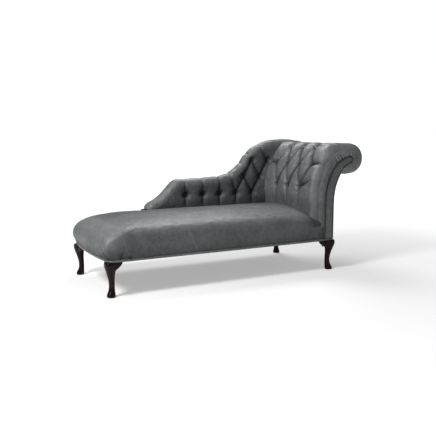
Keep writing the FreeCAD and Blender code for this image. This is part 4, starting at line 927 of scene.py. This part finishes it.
# domed heads set on points, each turned to the point's own normal and squashed to the given height
def domeNodes():
    tree, ins, outs = newGroup("domedHeads", "GeometryNodeTree",
                               [("Geometry", "Geometry", None), ("Diameter", "Float", 0.009),
                                ("Height", "Float", 0.003), ("Unevenness", "Float", 0.06), ("Seed", "Int", 5),
                                ("Finish", "Material", None)],
                               [("Geometry", "Geometry")])
    radius = times(tree, ins["Diameter"], 0.5)
    dome = nodeOf(tree, "GeometryNodeMeshUVSphere", {"Segments": 16, "Rings": 10, "Radius": radius}).outputs["Mesh"]
    tall = mathNode(tree, "DIVIDE", times(tree, ins["Height"], 2.0), ins["Diameter"])
    squash = nodeOf(tree, "ShaderNodeCombineXYZ", {0: 1.0, 1: 1.0, 2: tall}).outputs[0]
    head = nodeOf(tree, "GeometryNodeTransform", {"Geometry": dome, "Scale": squash}).outputs["Geometry"]
    outward = nodeOf(tree, "GeometryNodeInputNamedAttribute", {"Name": "outward"}, data_type="FLOAT_VECTOR")
    turn = nodeOf(tree, "FunctionNodeAlignRotationToVector", {"Vector": outward.outputs["Attribute"]}, axis="Z")
    low = mathNode(tree, "SUBTRACT", 1.0, ins["Unevenness"])
    high = plus(tree, 1.0, ins["Unevenness"])
    spread = nodeOf(tree, "FunctionNodeRandomValue", {2: low, 3: high, "Seed": ins["Seed"]}, data_type="FLOAT")
    heads = nodeOf(tree, "GeometryNodeInstanceOnPoints", {"Points": ins["Geometry"], "Instance": head,
                   "Rotation": turn.outputs["Rotation"], "Scale": spread.outputs[1]}).outputs["Instances"]
    real = nodeOf(tree, "GeometryNodeRealizeInstances", {"Geometry": heads}).outputs["Geometry"]
    paint = nodeOf(tree, "GeometryNodeSetMaterial", {"Geometry": real, "Material": ins["Finish"]})
    feed(tree, outs["Geometry"], paint.outputs["Geometry"])
    return tree

domes = domeNodes()

# one mesh of domed heads at placed = [(place, outward)], made by the node group
def scatterDomes(name, placed, values, material, node):
    mesh = bpy.data.meshes.new(name + "Points")
    mesh.from_pydata([place for place, _ in placed], [], [])
    outward = np.array([way for _, way in placed]).ravel()
    mesh.attributes.new("outward", "FLOAT_VECTOR", "POINT").data.foreach_set("vector", outward)
    holder = addObject(name + "Points", mesh)
    modifier = holder.modifiers.new("heads", "NODES")
    modifier.node_group = domes
    values = {**values, "Finish": material}
    for item in domes.interface.items_tree:
        if item.item_type == "SOCKET" and item.in_out == "INPUT" and item.name in values:
            modifier[item.identifier] = values[item.name]
    bpy.context.view_layer.update()
    seen = holder.evaluated_get(bpy.context.evaluated_depsgraph_get())
    made = addObject(name, bpy.data.meshes.new_from_object(seen))
    bpy.data.objects.remove(holder, do_unlink=True)
    made.data.shade_smooth()
    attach(made, "root"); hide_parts(node)

def nailPlaces():
    inset, ends, y = facing["nailInset"], facing["nailEnds"], facing["lineY"] - facing["nailSink"]
    run = facingPath["total"] - 2 * ends
    count = int(run / facing["nailPitch"])
    placed = []
    for i in range(count + 1):
        x, z, nx, nz = onPath(facingPath, ends + i * run / count)
        placed.append((float(x - nx * inset), y, float(z - nz * inset)))
    placed += [(float(x), y, facing["footNailZ"]) for x in np.linspace(*facing["footNails"])]
    return [(place, (0.0, -1.0, 0.0)) for place in placed]

makeFacing()
scatterDomes("facingNails", nailPlaces(), nail, materials["nailBronze"], "facing_nails")
# the button heads carry no crest attribute, so the leather paints them in its deep colour as painted shade
scatterDomes("scrollButtons", scrollButtonsAt, button, materials["leather"], "arm_buttons")
scatterDomes("backButtons", backButtonsAt, button, materials["leather"], "back_buttons")
print("facing, nails and buttons made")


# Carved legs with their ears

# profile is height, lean outward and radius; under is the ear's depth at shares of its reach
leg = {"profile": ((0.200, 0.005, 0.033), (0.178, 0.009, 0.0325), (0.150, 0.007, 0.0265), (0.120, 0.0020, 0.0200),
                   (0.090, -0.003, 0.0162), (0.062, -0.0045, 0.0154), (0.038, -0.002, 0.0172), (0.020, 0.004, 0.0222),
                   (0.010, 0.0065, 0.0245), (0.003, 0.0060, 0.0245), (0.0, 0.005, 0.0215)),
       "under": ((0, 0.2, 0.4, 0.65, 0.82, 0.93, 1.0), (0.070, 0.062, 0.051, 0.038, 0.028, 0.020, 0.010)),
       "reach": {"foot": 0.066, "head": 0.083, "rearward": 0.066}, "earHalf": (0.0145, 0.0100), "setOut": 0.006,
       "cell": 0.0021, "grow": 0.001, "sole": 0.005, "top": 0.200, "trim": 0.1995, "square": 0.10, "rings": 60,
       "feet": {"front_left": (-0.8645, -0.3125, -1, -1), "front_right": (0.6407, -0.3125, 1, -1),
                "rear_left": (-0.8645, 0.3125, -1, 1), "rear_right": (0.6407, 0.3125, 1, 1)}}

def loftTube(bm, rings):
    made = [[bm.verts.new(p) for p in ring] for ring in rings]
    for first, second in zip(made, made[1:]):
        for i in range(len(first)):
            j = (i + 1) % len(first)
            bm.faces.new((first[i], first[j], second[j], second[i]))
    bm.faces.new(made[0][::-1])
    bm.faces.new(made[-1])

def legRings(footX, footY, dx, dy):
    heights, leans, radii = np.array(leg["profile"])[::-1].T
    fine = np.linspace(leg["top"], 0.0, leg["rings"])
    out, radius = np.interp(fine, heights, leans), np.interp(fine, heights, radii)
    for line in (out, radius, out, radius):  # the carver's curve runs smoothly through the profile
        line[1:-1] = (line[:-2] + 2 * line[1:-1] + line[2:]) / 4
    around = np.linspace(0, 2 * math.pi, 28, endpoint=False)
    corners = np.abs(np.cos(2 * (around - math.pi / 4)))
    rings = []
    for z, o, r in zip(fine, out - leg["sole"], radius + leg["grow"]):
        square = r * (1 + leg["square"] * smoothStep(z, 0.13, 0.19) * corners)
        cx, cy = footX + dx * o, footY + dy * o
        rings.append([(cx + k * math.cos(a), cy + k * math.sin(a), z) for a, k in zip(around, square)])
    return rings

def squarer(value):
    return math.copysign(abs(value) ** 0.7, value)

# an ear lies flat under the rail and runs from the leg along (ax, ay)
def earRings(footX, footY, ax, ay, sideX, sideY):
    reach = leg["reach"]["rearward" if not ax else "head" if sideX > 0 else "foot"]
    wide, thin = leg["earHalf"]
    rings = []
    for t in np.linspace(0, 1, 26):
        under, half = np.interp(t, *leg["under"]), wide + (thin - wide) * t
        cx = footX + ax * t * reach + (0 if ax else sideX * leg["setOut"])
        cy = footY + ay * t * reach + (0 if ay else sideY * leg["setOut"])
        ring = []
        for a in np.linspace(0, 2 * math.pi, 20, endpoint=False):
            u, v = squarer(math.cos(a)) * half, (squarer(math.sin(a)) - 1) * under / 2
            ring.append((cx + (0 if ax else u), cy + (u if ax else 0), leg["top"] + v))
        rings.append(ring)
    return rings

def makeLeg(name, footX, footY, sideX, sideY):
    bm = bmesh.new()
    loftTube(bm, legRings(footX, footY, sideX * math.sqrt(0.5), sideY * math.sqrt(0.5)))
    for ax, ay in ((-sideX, 0), (0, -sideY)):
        loftTube(bm, earRings(footX, footY, ax, ay, sideX, sideY))
    mesh = bpy.data.meshes.new(name)
    bm.to_mesh(mesh)
    bm.free()
    raw = addObject(name + "Rough", mesh)
    remesh = raw.modifiers.new("remesh", "REMESH")  # grows the leg and its ears into one carving
    remesh.mode, remesh.voxel_size = "VOXEL", leg["cell"]
    smooth = raw.modifiers.new("smooth", "CORRECTIVE_SMOOTH")
    smooth.iterations, smooth.use_only_smooth, smooth.factor = 6, True, 0.5
    bpy.context.view_layer.update()
    done = bpy.data.meshes.new_from_object(raw.evaluated_get(bpy.context.evaluated_depsgraph_get()))
    bpy.data.objects.remove(raw, do_unlink=True)
    for vertex in done.vertices:
        vertex.co.z = min(max(vertex.co.z, 0.0), leg["trim"])
    done.materials.clear()
    done.materials.append(materials["mahogany"])
    made = addObject(name, done)
    done.shade_smooth()
    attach(made, "root")
    return made

for corner, place in leg["feet"].items():
    words = corner.split("_")
    made = makeLeg(words[0] + words[1].title() + "Leg", *place)
    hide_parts("leg_" + corner, "knee_brackets_" + corner)
print("legs made")


# Everything else keeps its built shape and takes a finish

finishes = {"beech": ("front_seat_rail", "rear_seat_rail", "foot_end_rail", "head_end_rail", "cross_rail_1",
                      "cross_rail_2", "front_scroll_post", "rear_scroll_post", "scroll_roll_bar", "scroll_lower_rail",
                      "scroll_middle_rail", "back_board", "frame_dowels", "corner_blocks", "facing_board"),
            "steel": ("corner_block_screws", "leg_bolts", "leg_bolt_washers", "leg_bolt_nuts", "seat_springs",
                      "spring_clips", "dust_cover_tacks"),
            "hessian": ("seat_hessian", "arm_webbing", "arm_button_twine", "back_button_twine"),
            "wadding": ("back_lining",), "dustCloth": ("dust_cover",)}
for finish, names in finishes.items():
    for nodeName in names:
        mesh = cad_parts[nodeName].data
        mesh.materials.clear()
        mesh.materials.append(materials[finish])
print("frame finishes set")
